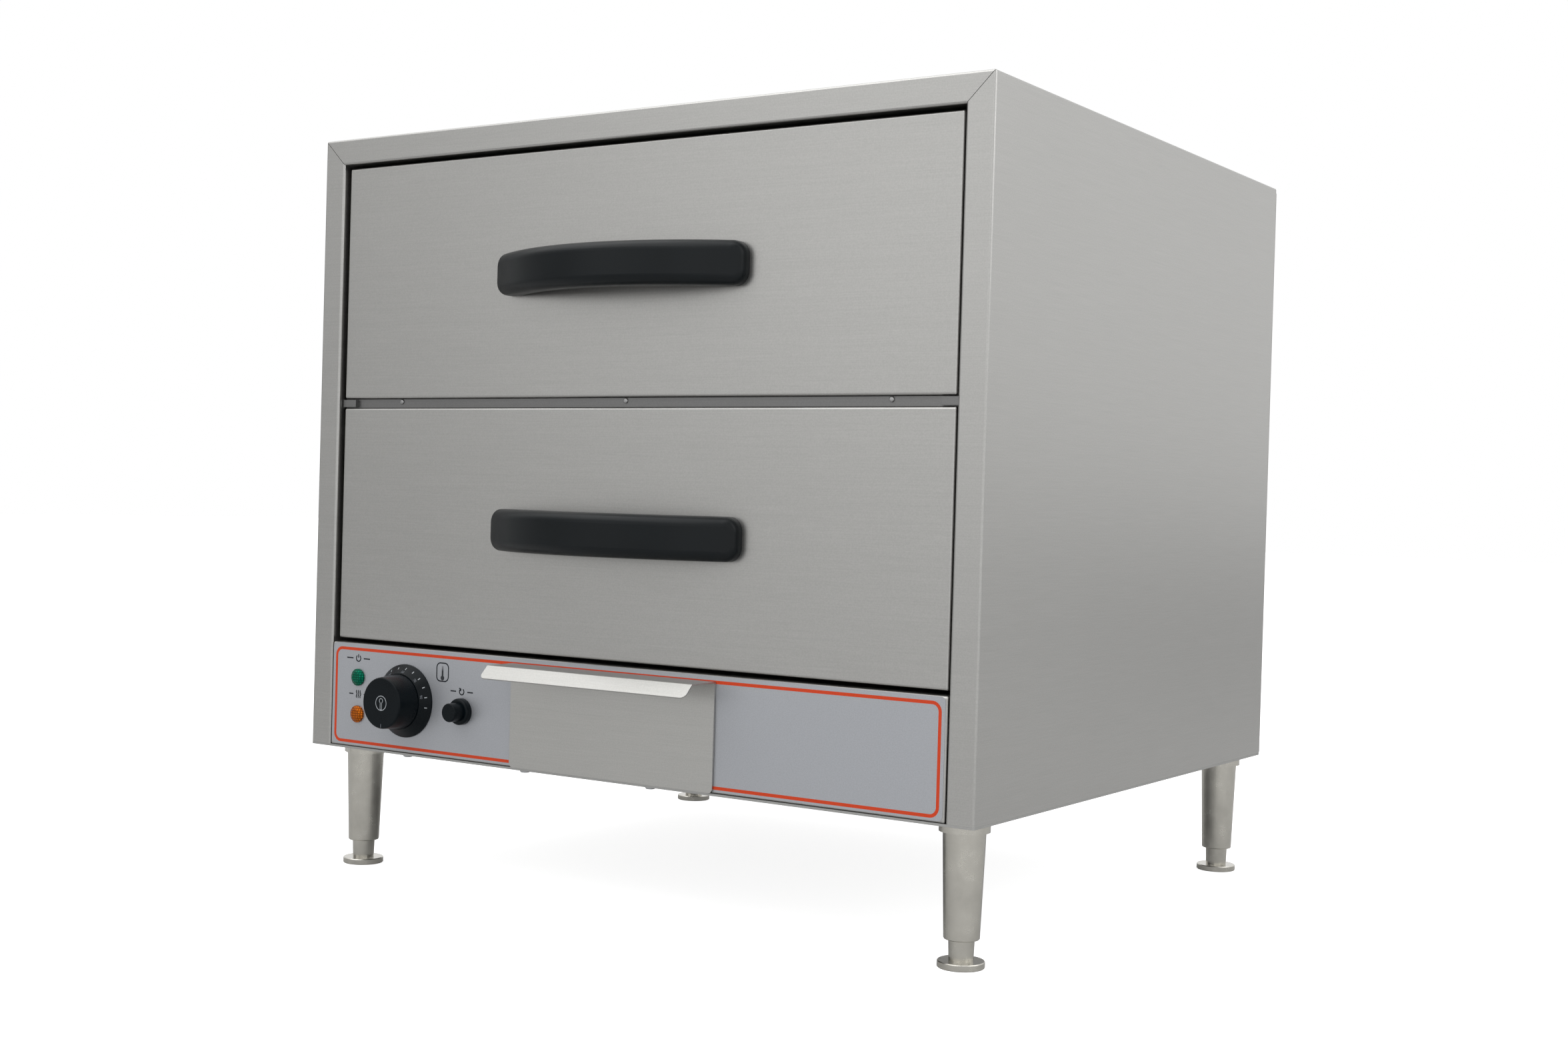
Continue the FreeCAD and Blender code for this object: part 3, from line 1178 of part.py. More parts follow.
def handle_screws(low):
    screws = []
    seat = FRONT_RECESS + SHEET
    for x, z in handle_screw_places(low):
        head = rod_y(x, z, seat, seat + HANDLE_SCREW_HEAD, HANDLE_SCREW_HEAD_R)
        shank = rod_y(x, z, FRONT_RECESS - HANDLE_SCREW_BITE, seat, HANDLE_SCREW_R)
        screws.append(joined([head, shank]))
    return Part.Compound(screws)


# ---------------------------------------------------------------- drawer slides
def slide_member(web_x, reach, height, low, y0, y1):
    """Pair of C sections with their webs at web_x and their flanges reaching inwards.

    A negative reach turns the flanges outwards.
    """
    z0 = low + SLIDE_RISE - height / 2
    z1 = low + SLIDE_RISE + height / 2
    pair = []
    for side in (-1, 1):
        web = sorted((side * web_x, side * (web_x - SLIDE_WEB)))
        root = web_x if reach < 0 else web_x - SLIDE_WEB
        flange = sorted((side * root, side * (root - reach)))
        pair.append(joined([
            block(*web, y0, y1, z0, z1),
            block(*flange, y0, y1, z0, z0 + SLIDE_FLANGE),
            block(*flange, y0, y1, z1 - SLIDE_FLANGE, z1),
        ]))
    return Part.Compound(pair)


def nested_height(level):
    """Height of the outer (0), middle (1) or inner (2) member."""
    return SLIDE_HEIGHT - level * 2 * (SLIDE_FLANGE + SEAT)


def slide_outers(low):
    reach = SLIDE_OUTER_X - SLIDE_WEB - (SLIDE_INNER_X + SLIDE_GAP)
    return slide_member(SLIDE_OUTER_X, reach, nested_height(0), low, SLIDE_START, SLIDE_END)


def slide_middles(low):
    start = SLIDE_START + SLIDE_SETBACK
    end = start + SLIDE_LENGTH - SLIDE_SHORTER
    reach = SLIDE_MIDDLE_X - SLIDE_WEB - (SLIDE_INNER_X + SLIDE_GAP)
    return slide_member(SLIDE_MIDDLE_X, reach, nested_height(1), low, start, end)


def slide_inners(low):
    """Inner members, their flanges turned out into the middle members."""
    end = SLIDE_START + SLIDE_LENGTH - SLIDE_SHORTER
    reach = SLIDE_INNER_X - (SLIDE_MIDDLE_X - SLIDE_WEB - SEAT)
    return slide_member(SLIDE_INNER_X, reach, nested_height(2), low, SLIDE_START, end)


# ---------------------------------------------------------------- assembly
def build():
    os.makedirs("parts", exist_ok=True)
    save("outer_wrap", outer_wrap())
    save("back_panel", back_panel())
    save("back_screws", back_screws())
    save("base_plate", base_plate())
    save("base_screws", base_screws())
    save("cavity_liner", cavity_liner())
    save("liner_back", liner_back())
    save("insulation_boards", insulation_boards())
    save("cavity_floor", cavity_floor())
    save("middle_rail", middle_rail())

    save("control_panel", control_panel())
    save("panel_overlay", panel_overlay())
    save("dial_bezel", dial_bezel())
    save("knob", knob())
    save("knob_shaft", knob_shaft())
    save("thermostat_body", thermostat_body())
    save("thermostat_bulb", thermostat_bulb())
    for name, lamp_z in zip(("power_lens", "heat_lens"), LAMP_ZS):
        save(name, lens(lamp_z))
    save("lamp_bodies", lamp_bodies())
    save("reset_collar", reset_collar())
    save("reset_button", reset_button())
    save("reset_limiter", reset_limiter())
    save("reset_spring", reset_spring())

    save("tray_front", tray_front())
    save("tray_pan", tray_pan())
    save("tray_guides", tray_guides())
    save("heating_element", heating_element())
    save("element_brackets", element_brackets())
    save("terminal_block", terminal_block())
    save("cable_gland", cable_gland())

    for (place, (x, y)), flat_angle in zip(LEG_PLACES.items(), FLAT_ANGLES):
        save("leg_" + place, leg(x, y, flat_angle))
        save("foot_" + place, foot(x, y))
    save("leg_nuts", leg_nuts())

    for level, low in (("upper", UPPER_FRONT), ("lower", LOWER_FRONT)):
        save(level + "_drawer_front", drawer_front(low))
        save(level + "_front_cover", front_cover(low))
        save(level + "_drawer_frame", drawer_frame(low))
        save(level + "_food_pan", food_pan(low))
        save(level + "_handle_grip", handle_grip(low))
        save(level + "_handle_back", handle_back(low))
        save(level + "_handle_screws", handle_screws(low))
        save(level + "_slide_outers", slide_outers(low))
        save(level + "_slide_middles", slide_middles(low))
        save(level + "_slide_inners", slide_inners(low))


build()
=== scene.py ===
"""Looks of the countertop warming drawer cabinet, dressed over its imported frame.

Lengths are metres in the frame's own axes: +X right, +Y to the back, +Z up, floor at 0.
"""
import math

import bmesh
import bpy
from bpy.props import FloatProperty, FloatVectorProperty, IntProperty, PointerProperty, StringProperty
from mathutils import Matrix, Vector


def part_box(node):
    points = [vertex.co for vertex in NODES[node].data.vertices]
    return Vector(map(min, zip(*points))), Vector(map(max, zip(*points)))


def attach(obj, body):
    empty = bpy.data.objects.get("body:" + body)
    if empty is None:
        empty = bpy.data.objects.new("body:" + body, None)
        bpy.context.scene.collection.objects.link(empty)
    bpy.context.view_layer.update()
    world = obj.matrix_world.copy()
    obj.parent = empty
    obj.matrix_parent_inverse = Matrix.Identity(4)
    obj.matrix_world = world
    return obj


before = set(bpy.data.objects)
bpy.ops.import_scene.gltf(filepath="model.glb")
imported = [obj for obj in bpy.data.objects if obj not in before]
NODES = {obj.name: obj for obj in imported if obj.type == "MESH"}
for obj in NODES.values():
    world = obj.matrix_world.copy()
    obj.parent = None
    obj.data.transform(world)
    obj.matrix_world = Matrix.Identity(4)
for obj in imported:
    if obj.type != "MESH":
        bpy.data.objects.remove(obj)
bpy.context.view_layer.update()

bl_info = {
    "name": "Warming drawer looks",
    "version": (1, 0, 0),
    "blender": (4, 5, 0),
    "location": "3D View > Sidebar > Warming Drawer",
    "description": "Finishes, printed panel, dial scale and studio for the warming drawer cabinet",
    "category": "Object",
}

# ---------------------------------------------------------------- places and shared values
FOIL_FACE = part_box("panel_overlay")[0].y
KNOB_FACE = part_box("knob")[0].y
BEZEL_LOW, BEZEL_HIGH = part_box("dial_bezel")
BEZEL_RADIUS = (BEZEL_HIGH.x - BEZEL_LOW.x) / 2
DIAL_X = (BEZEL_LOW.x + BEZEL_HIGH.x) / 2
DIAL_Z = (BEZEL_LOW.z + BEZEL_HIGH.z) / 2

PRINT_SINK = 0.00002      # how deep a print's back lies under the face that carries it
PRINT_STEP = 0.000004     # between two strokes of a print that cross
DEGREES_A_STEP = 10       # of a drawn bend
DASH_START = 0.95         # from a symbol's middle to the dash beside it, in symbol heights
NOISE_LOW, NOISE_HIGH = 0.3, 0.7  # between these lies most of a noise

# Name, place, width, height and power of each soft lamp
LAMP_TARGET = (0, 0, 0.35)
LAMPS = (
    ("front lamp", (2.15, -2.15, 1.34), 5.2, 2.8, 34),
    ("side lamp", (2.58, 0.46, 2.19), 3.6, 3.0, 50),
    ("top lamp", (-0.55, -1.50, 3.12), 3.6, 3.4, 52),
    ("left lamp", (-1.84, 0.0, 2.97), 2.5, 2.5, 8),
)
# Directions in the mirrored room, the cosines at which a change is whole and gone, and the change:
# a dim left wall, a bright wall left of the front, and the walls behind the front and side lamps
ROOM = (
    ((-0.914, -0.407, 0.0), 0.99, 0.80, -0.58),
    ((-0.50, -0.86, 0.0), 0.995, 0.90, 0.35),
    ((0.67, -0.67, 0.31), 0.90, 0.70, -0.65),
    ((0.81, 0.14, 0.57), 0.92, 0.74, -0.55),
)


# ---------------------------------------------------------------- settings
def length(name, description, default):
    """Length setting in metres."""
    return FloatProperty(name=name, description=description, default=default, unit="LENGTH", precision=5)


def share(name, description, default):
    """Setting between 0 and 1."""
    return FloatProperty(name=name, description=description, default=default, min=0, max=1)


def colour(name, description, default):
    """Linear colour setting."""
    return FloatVectorProperty(name=name, description=description, default=default, subtype="COLOR",
                               size=3, min=0, max=1)


def number(name, description, default):
    """Plain number."""
    return FloatProperty(name=name, description=description, default=default, precision=4)


def place(name, description, default):
    """Point or direction in the frame's axes."""
    return FloatVectorProperty(name=name, description=description, default=default, size=3, subtype="XYZ",
                               precision=5)


class SteelSettings(bpy.types.PropertyGroup):
    skin_colour: colour("Skin colour", "Brushed outer steel", (0.421, 0.418, 0.405))
    skin_roughness: share("Skin roughness", "Roughness of the brushed outer steel", 0.34)
    # Tray colour: a brighter copy of the skin steel, painted light on the water tray's front
    tray_lit_colour: colour("Tray colour", "Steel of the water tray's front", (0.458, 0.455, 0.438))
    # Rail colour: the sheet painted darker, as painted shade for the recess between the drawers
    rail_shaded_colour: colour("Rail colour", "Darker steel of the rail between the drawers", (0.20, 0.20, 0.198))
    sheet_colour: colour("Sheet colour", "Mill-finish inner sheet", (0.40, 0.40, 0.39))
    sheet_roughness: share("Sheet roughness", "Roughness of the inner sheet", 0.42)
    pan_colour: colour("Pan colour", "Drawn pans", (0.47, 0.47, 0.46))
    pan_roughness: share("Pan roughness", "Roughness of the pans", 0.38)
    pan_mottle: share("Pan mottle", "How far the pans' colour varies", 0.03)
    pan_grit: length("Pan grit", "Depth of the pans' texture", 0.0000015)
    grain_pitch: length("Grain pitch", "Distance between brushing lines", 0.0006)
    grain_reach: length("Grain reach", "Length of a brushing line", 0.05)
    grain_depth: length("Grain depth", "Depth of the brushing", 0.000008)
    grain_shade: share("Grain shade", "How far the brushing lines vary the colour", 0.04)
    grain_dullness: share("Grain dullness", "How far they vary the roughness", 0.012)
    streak_scale: number("Streak scale", "Wide streaks in the width of a brushing line", 0.13)
    streak_shade: share("Streak shade", "How far wide streaks vary the colour", 0.007)
    cloud_scale: number("Cloud scale", "Soft patches in a metre", 2.2)
    cloud_shade: share("Cloud shade", "How far soft patches vary the colour", 0.015)
    cloud_dullness: share("Cloud dullness", "How far they vary the roughness", 0.01)
    speck_scale: number("Speck scale", "Specks in a metre", 900)
    speck_shade: share("Speck shade", "How far specks vary the colour", 0.045)
    # Fold band: darkened by the fold shade as painted shade that dims the lamps' highlight on the folded
    # edges, and made rougher
    fold_width: length("Fold width", "Worn band along a folded edge", 0.0012)
    fold_shade: share("Fold shade", "Colour left on a worn edge", 0.92)
    fold_dullness: number("Fold dullness", "Roughness of a worn edge over the sheet's own", 1.3)


class PlatingSettings(bpy.types.PropertyGroup):
    nickel_colour: colour("Nickel colour", "Plated legs and feet", (0.535, 0.520, 0.474))
    nickel_roughness: share("Nickel roughness", "Roughness of the legs and feet", 0.22)
    nickel_mottle: share("Nickel mottle", "How far the legs' and feet's colour varies", 0.07)
    nickel_grit: length("Nickel grit", "Depth of the legs' and feet's texture", 0.00006)
    zinc_colour: colour("Zinc colour", "Plated slides and fasteners", (0.50, 0.51, 0.52))
    zinc_roughness: share("Zinc roughness", "Roughness of slides and fasteners", 0.3)
    screw_colour: colour("Screw colour", "Plated heads in the rail", (0.33, 0.33, 0.33))
    screw_roughness: share("Screw roughness", "Roughness of the heads in the rail", 0.25)
    copper_colour: colour("Copper colour", "Thermostat's bulb", (0.55, 0.25, 0.13))
    copper_roughness: share("Copper roughness", "Roughness of the bulb", 0.3)
    sheath_colour: colour("Sheath colour", "Heating element", (0.09, 0.075, 0.065))
    sheath_roughness: share("Sheath roughness", "Roughness of the heating element", 0.55)
    sheath_mottle: share("Sheath mottle", "How far the element's colour varies", 0.2)
    mottle: share("Mottle", "How far any other plating's colour varies", 0.06)
    grit: length("Grit", "Depth of any other plating's texture", 0.00003)


class PanelSettings(bpy.types.PropertyGroup):
    foil_colour: colour("Foil colour", "Printed foil", (0.400, 0.412, 0.437))
    border_colour: colour("Border colour", "Line round the foil", (0.55, 0.052, 0.014))
    symbol_colour: colour("Symbol colour", "Small printed symbols", (0.012, 0.014, 0.018))
    ink_roughness: share("Ink roughness", "Roughness of every print", 0.4)
    border_width: length("Border width", "Thickness of the border line", 0.0027)
    border_ends: length("Border half length", "Middle of the panel to the line's outer edge", 0.3203)
    border_low: length("Border bottom", "Height of the line's lower outer edge", 0.1186)
    border_high: length("Border top", "Height of the line's upper outer edge", 0.2066)
    border_corner: length("Border corner", "Radius along the middle of the line's corners", 0.0068)
    print_height: length("Print height", "Thickness of the print", 0.00006)
    symbol_height: length("Symbol height", "Height of the small symbols", 0.0070)
    symbol_line: length("Symbol line", "Thickness of the small symbols' lines", 0.00115)
    power_place: place("Power symbol", "Middle of the symbol over the green lamp", (-0.2911, 0.0, 0.1969))
    heat_place: place("Heat symbol", "Middle of the symbol over the amber lamp", (-0.2901, 0.0, 0.1640))
    reset_place: place("Reset symbol", "Middle of the symbol over the button", (-0.1625, 0.0, 0.1760))
    gauge_place: place("Gauge symbol", "Middle of the framed thermometer", (-0.1860, 0.0, 0.1917))
    gauge_width: length("Gauge frame width", "Width of the frame", 0.0151)
    gauge_height: length("Gauge frame height", "Height of the frame", 0.0173)


class DialSettings(bpy.types.PropertyGroup):
    mark_colour: colour("Mark colour", "Marks on the bezel", (0.36, 0.38, 0.40))
    mark_radius: length("Mark radius", "Knob's axis to the middle of a mark", 0.0296)
    mark_length: length("Mark length", "Length of a mark", 0.0024)
    mark_width: length("Mark width", "Width of a mark", 0.0008)
    first_mark: number("First mark", "Degrees from the top to the first mark, clockwise", -28.0)
    mark_step: number("Mark step", "Degrees between two marks", 17.9)
    labels: StringProperty(name="Labels", description="Numbers at every other mark", default="30 50 70 90")
    label_colour: colour("Figure colour", "Figures on the bezel", (0.14, 0.15, 0.17))
    label_radius: length("Label radius", "Knob's axis to the middle of a number", 0.0267)
    label_height: length("Label height", "Height of the figures", 0.0034)
    label_lead: number("Number lead", "Degrees from a mark to its number, clockwise", -2.0)
    sign_colour: colour("Sign colour", "Sign on the knob", (0.30, 0.32, 0.34))
    sign_line: length("Sign line", "Thickness of the thermometer's outline on the knob", 0.0006)
    ring_radius: length("Ring radius", "Middle of the ring on the knob", 0.0064)
    ring_line: length("Ring line", "Thickness of the ring", 0.0007)
    crown_radius: length("Crown radius", "Inner end of the bezel's cone", 0.0252)
    bezel_rim: length("Bezel rim", "Straight edge under the cone", 0.0013)
    groove_depth: length("Groove depth", "Depth of the knob's pointer groove", 0.0005)
    groove_end: length("Groove end", "Knob's axis to the groove's outer end", 0.0217)
    groove_length: length("Groove length", "Length of the paint in the groove", 0.0032)
    groove_width: length("Groove width", "Width of the paint in the groove", 0.0011)


class ScrewSettings(bpy.types.PropertyGroup):
    count: IntProperty(name="Screws", description="Number of screws in the rail", default=3, min=1)
    first_place: place("First screw", "Middle of the left head's back", (-0.2530, -0.2808, 0.4332))
    pitch: length("Screw pitch", "Distance between two screws", 0.2585)
    head_radius: length("Head radius", "Radius of a head", 0.0023)
    head_height: length("Head height", "Height of a head", 0.0014)
    head_round: share("Head rounding", "Rounding of a head's rim, of its radius", 0.42)


class PlasticSettings(bpy.types.PropertyGroup):
    handle_colour: colour("Handle colour", "Moulded handles", (0.0010, 0.0028, 0.0040))
    handle_roughness: share("Handle roughness", "Roughness of the handles", 0.34)
    handle_specular: share("Handle specular", "Mirror strength of the handles", 0.22)
    handle_texture: length("Handle texture", "Depth of the handles' texture", 0.00004)
    knob_colour: colour("Knob colour", "Knob, bezel and button", (0.0024, 0.0046, 0.0062))
    knob_roughness: share("Knob roughness", "Roughness of knob, bezel and button", 0.30)
    knob_specular: share("Knob specular", "Mirror strength of knob, bezel and button", 0.12)
    knob_texture: length("Knob texture", "Depth of their texture", 0.00002)
    texture_pitch: length("Texture pitch", "Size of a moulded texture's grains", 0.0009)
    green_colour: colour("Green lens", "Power lamp", (0.0, 0.150, 0.082))
    amber_colour: colour("Amber lens", "Heat lamp", (0.50, 0.120, 0.006))
    prism_pitch: length("Prism pitch", "Distance between a lens's prisms", 0.0022)
    prism_depth: length("Prism depth", "Depth of a lens's prisms", 0.0006)
    wool_colour: colour("Wool colour", "Insulation boards", (0.55, 0.45, 0.18))
    wool_depth: length("Wool depth", "Depth of the insulation's fibres", 0.0008)


class StageSettings(bpy.types.PropertyGroup):
    lens: number("Lens", "Focal length in millimetres", 44.924)
    sensor: number("Sensor", "Sensor width in millimetres", 36.0)
    position: place("Camera", "Place of the camera", (1.02594, -1.57421, 0.35500))
    forward: place("Forward", "Camera's line of sight", (-0.55276717, 0.83324447, -0.01233357))
    upward: place("Upward", "Camera's up direction", (-0.03032413, -0.00532192, 0.99952595))
    floor_size: length("Floor size", "Side of the floor", 30.0)
    floor_colour: colour("Floor colour", "Pale floor", (0.5, 0.5, 0.5))
    floor_seen: number("Floor glow", "What the camera sees over the floor's own light", 0.85)
    floor_mirrored: number("Floor mirrored", "What metal and glass see over the floor's own light", 0.03)
    fill: number("Fill", "Strength of the light from all round", 0.69)


# ---------------------------------------------------------------- node helpers
class Nodes:
    """A node tree, with short calls to add and join its nodes."""

    def __init__(self, tree):
        self.tree = tree

    def node(self, kind, **values):
        made = self.tree.nodes.new(kind)
        for key, value in values.items():
            setattr(made, key, value)
        return made

    def join(self, start, end):
        self.tree.links.new(start, end)

    def maths(self, operation, first, second=0.0):
        """Result of two numbers or sockets."""
        made = self.node("ShaderNodeMath", operation=operation)
        for socket, value in zip(made.inputs, (first, second)):
            if isinstance(value, (int, float)):
                socket.default_value = value
            else:
                self.join(value, socket)
        return made.outputs["Value"]

    def product(self, first, *others):
        """Several sockets multiplied."""
        for other in others:
            first = self.maths("MULTIPLY", first, other)
        return first

    def span(self, value, low, high, low_in=NOISE_LOW, high_in=NOISE_HIGH, interpolation="LINEAR"):
        """Value rescaled to run from low to high."""
        made = self.node("ShaderNodeMapRange", interpolation_type=interpolation)
        made.inputs["From Min"].default_value = low_in
        made.inputs["From Max"].default_value = high_in
        made.inputs["To Min"].default_value = low
        made.inputs["To Max"].default_value = high
        self.join(value, made.inputs["Value"])
        return made.outputs["Result"]

    def vary(self, noise, spread, middle=1.0):
        """Noise rescaled to lie within a spread of a middle value."""
        return self.span(noise, middle - spread, middle + spread)


class Recipe(Nodes):
    """A material's node tree, with its shader's sockets."""

    def __init__(self, name):
        self.material = bpy.data.materials.new(name)
        self.material.use_nodes = True
        super().__init__(self.material.node_tree)
        self.shader = self.tree.nodes["Principled BSDF"]
        self.output = self.tree.nodes["Material Output"]

    def set(self, **values):
        """Plain numbers and colours on the shader's own sockets."""
        for key, value in values.items():
            socket = self.shader.inputs[key.replace("_", " ")]
            socket.default_value = (*value, 1.0) if hasattr(value, "__len__") else value

    def place(self, scale):
        """Object coordinates, scaled."""
        coordinates = self.node("ShaderNodeTexCoord")
        mapping = self.node("ShaderNodeMapping")
        mapping.inputs["Scale"].default_value = scale
        self.join(coordinates.outputs["Object"], mapping.inputs["Vector"])
        return mapping.outputs["Vector"]

    def noise(self, vector, scale=1.0, detail=2.0, roughness=0.5):
        made = self.node("ShaderNodeTexNoise")
        made.inputs["Scale"].default_value = scale
        made.inputs["Detail"].default_value = detail
        made.inputs["Roughness"].default_value = roughness
        self.join(vector, made.inputs["Vector"])
        return made.outputs["Fac"]

    def grains(self, per_metre, detail=2.0, roughness=0.5):
        """Noise that is alike in all directions."""
        return self.noise(self.place((per_metre,) * 3), 1.0, detail, roughness)

    def tint(self, base, factor):
        """Base colour multiplied by a factor that varies over the surface."""
        scaled = self.node("ShaderNodeVectorMath", operation="SCALE")
        scaled.inputs[0].default_value = base
        self.join(factor, scaled.inputs["Scale"])
        self.join(scaled.outputs["Vector"], self.shader.inputs["Base Color"])

    def rough(self, value):
        self.join(value, self.shader.inputs["Roughness"])

    def bump(self, height, depth):
        made = self.node("ShaderNodeBump")
        made.inputs["Strength"].default_value = 1.0
        made.inputs["Distance"].default_value = depth
        self.join(height, made.inputs["Height"])
        self.join(made.outputs["Normal"], self.shader.inputs["Normal"])


# ---------------------------------------------------------------- materials
def brushed(name, base, roughness, steel):
    """Brushed sheet. Lines run level, and from side to side on the level faces."""
    made = Recipe(name)
    made.set(Metallic=1.0)
    vector = brushing(made, 1 / steel.grain_pitch, 1 / steel.grain_reach)
    fine = made.noise(vector, 1.0, 3.0, 0.6)
    streak = made.noise(vector, steel.streak_scale)
    cloud = made.grains(steel.cloud_scale)
    speck = made.grains(steel.speck_scale, 1.0)
    # painted shade: the folded edges are darkened by the fold shade to dim their highlight
    shaded_fold = shaded_fold_band(made, steel.fold_width)
    made.tint(base, made.product(made.vary(fine, steel.grain_shade), made.vary(streak, steel.streak_shade),
                                 made.vary(cloud, steel.cloud_shade), made.vary(speck, steel.speck_shade),
                                 made.span(shaded_fold, 1.0, steel.fold_shade, 0.0, 1.0)))
    rough = made.maths("ADD", made.vary(fine, steel.grain_dullness, 0.0),
                       made.vary(cloud, steel.cloud_dullness, roughness))
    made.rough(made.product(rough, made.span(shaded_fold, 1.0, steel.fold_dullness, 0.0, 1.0)))
    made.bump(fine, steel.grain_depth)
    return made.material


def brushing(made, pitch, reach):
    """Coordinates drawn out along the brushing, with a face's lines told by how level it is."""
    level_normal = 0.7
    normal = made.node("ShaderNodeNewGeometry")
    parts = made.node("ShaderNodeSeparateXYZ")
    made.join(normal.outputs["True Normal"], parts.inputs["Vector"])
    level = made.maths("GREATER_THAN", made.maths("ABSOLUTE", parts.outputs["Z"]), level_normal)
    chosen = made.node("ShaderNodeMix", data_type="VECTOR")
    made.join(level, chosen.inputs["Factor"])
    made.join(made.place((reach, reach, pitch)), chosen.inputs["A"])
    made.join(made.place((reach, pitch, reach)), chosen.inputs["B"])
    return chosen.outputs["Result"]


def shaded_fold_band(made, width):
    """1 on the edges of the sheet and 0 away from them: the band that the brushed sheet darkens as painted
    shade over the folds' highlight.
    """
    turned, unturned = 0.80, 0.995      # cosine of the turn to the rounded normal
    bevel = made.node("ShaderNodeBevel", samples=4)
    bevel.inputs["Radius"].default_value = width
    true = made.node("ShaderNodeNewGeometry")
    dot = made.node("ShaderNodeVectorMath", operation="DOT_PRODUCT")
    made.join(bevel.outputs["Normal"], dot.inputs[0])
    made.join(true.outputs["Normal"], dot.inputs[1])
    return made.span(dot.outputs["Value"], 1.0, 0.0, turned, unturned)


def plated(name, base, roughness, mottle, grit):
    """Plated or drawn metal with a slightly mottled surface."""
    fine_shade = 0.03
    smoother, rougher, fine_rough = 0.6, 0.9, 0.3     # of the mottle
    made = Recipe(name)
    made.set(Metallic=1.0)
    cloud = made.grains(60, 3.0, 0.6)
    fine = made.grains(1400)
    made.tint(base, made.product(made.vary(cloud, mottle), made.vary(fine, fine_shade)))
    uneven = made.span(cloud, roughness - smoother * mottle, roughness + rougher * mottle)
    made.rough(made.maths("ADD", uneven, made.vary(fine, fine_rough * mottle, 0.0)))
    made.bump(made.maths("ADD", fine, cloud), grit)
    return made.material


def moulded(name, base, roughness, specular, texture, pitch):
    """Moulded plastic with a fine eroded texture."""
    cloud_shade, fine_shade, dullness = 0.12, 0.06, 0.03
    made = Recipe(name)
    made.set(Specular_IOR_Level=specular)
    cloud = made.grains(35, 3.0)
    fine = made.grains(1 / pitch)
    made.tint(base, made.product(made.vary(cloud, cloud_shade), made.vary(fine, fine_shade)))
    made.rough(made.maths("ADD", made.vary(cloud, dullness, roughness), made.vary(fine, dullness, 0.0)))
    made.bump(fine, texture)
    return made.material


def lens_glass(name, base, pitch, depth):
    """Tinted clear lens with a grid of small prisms inside, whose glints and shade are painted into its
    colour.
    """
    unevenness = 0.15
    edge, middle = 0.0, 0.45      # distance from a prism's edge, in prisms
    made = Recipe(name)
    made.set(Metallic=0.5, Specular_IOR_Level=0.08, IOR=1.5)
    cells = made.node("ShaderNodeTexVoronoi", feature="DISTANCE_TO_EDGE")
    cells.inputs["Scale"].default_value = 1.0
    cells.inputs["Randomness"].default_value = unevenness
    made.join(made.place((1 / pitch, 0.0, 1 / pitch)), cells.inputs["Vector"])
    # the prisms' middles are painted lighter and their edges darker: the prism grid is real, its glints and
    # shade are painted
    made.tint(base, made.span(cells.outputs["Distance"], 0.3, 1.3, edge, middle))
    made.rough(made.span(cells.outputs["Distance"], 0.22, 0.08, edge, middle))
    made.bump(cells.outputs["Distance"], depth)
    return made.material


def glass_wool(name, base, depth):
    """Board of pressed fibres."""
    made = Recipe(name)
    fibre = made.grains(400, 4.0, 0.7)
    made.tint(base, made.span(fibre, 0.7, 1.2))
    made.rough(made.span(fibre, 0.85, 1.0))
    made.bump(fibre, depth)
    return made.material


def foil_sheet(name, base):
    """Fine-grained metallic foil."""
    made = Recipe(name)
    made.set(Metallic=0.7)
    speck = made.grains(1100, 1.0)
    cloud = made.grains(4)
    made.tint(base, made.product(made.vary(speck, 0.07), made.vary(cloud, 0.015)))
    made.rough(made.span(speck, 0.40, 0.50))
    made.bump(speck, 0.00001)
    return made.material


def inked(name, roughness):
    """Ink with a faint unevenness: its nodes and the unevenness."""
    made = Recipe(name)
    speck = made.grains(1200)
    made.rough(made.span(speck, roughness - 0.04, roughness + 0.06))
    return made, speck


def printed(name, base, roughness):
    """Ink of one colour."""
    made, speck = inked(name, roughness)
    made.set(Specular_IOR_Level=0.2)
    made.tint(base, made.vary(speck, 0.08))
    return made.material


def fading_ink(panel):
    """Dark ink that thins out to the foil's colour towards the thermometer's top."""
    start, end, most = 0.1, 0.7, 0.7      # half heights over the middle, and the thinnest ink
    middle, reach = panel.gauge_place[2], panel.gauge_height / 2
    made, _ = inked("fading print", panel.ink_roughness)
    coordinates = made.node("ShaderNodeTexCoord")
    parts = made.node("ShaderNodeSeparateXYZ")
    made.join(coordinates.outputs["Object"], parts.inputs["Vector"])
    thin = made.span(parts.outputs["Z"], 0.0, most, middle + start * reach, middle + end * reach)
    mixed = made.node("ShaderNodeMix", data_type="RGBA")
    mixed.inputs["A"].default_value = (*panel.symbol_colour, 1.0)
    mixed.inputs["B"].default_value = (*panel.foil_colour, 1.0)
    made.join(thin, mixed.inputs["Factor"])
    made.join(mixed.outputs["Result"], made.shader.inputs["Base Color"])
    return made.material


def assign(material, *names):
    """The material on CAD nodes, by name."""
    for name in names:
        mesh = NODES[name].data
        mesh.materials.clear()
        mesh.materials.append(material)


def both(*names):
    """The names with each drawer's prefix."""
    return [drawer + "_" + name for drawer in ("upper", "lower") for name in names]


# ---------------------------------------------------------------- modelling helpers
def settled(name, body, material):
    """Finish the active object: place in the mesh, name, material and body."""
    piece = bpy.context.active_object
    bpy.ops.object.transform_apply(location=True, rotation=True, scale=True)
    piece.name = name
    piece.data.name = name
    piece.data.materials.clear()
    piece.data.materials.append(material)
    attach(piece, body)
    return piece


def nothing_selected():
    bpy.ops.object.select_all(action="DESELECT")


def joined(pieces):
    """One object made of several."""
    for piece in pieces:
        piece.select_set(True)
    bpy.ops.object.join()
    return bpy.context.active_object


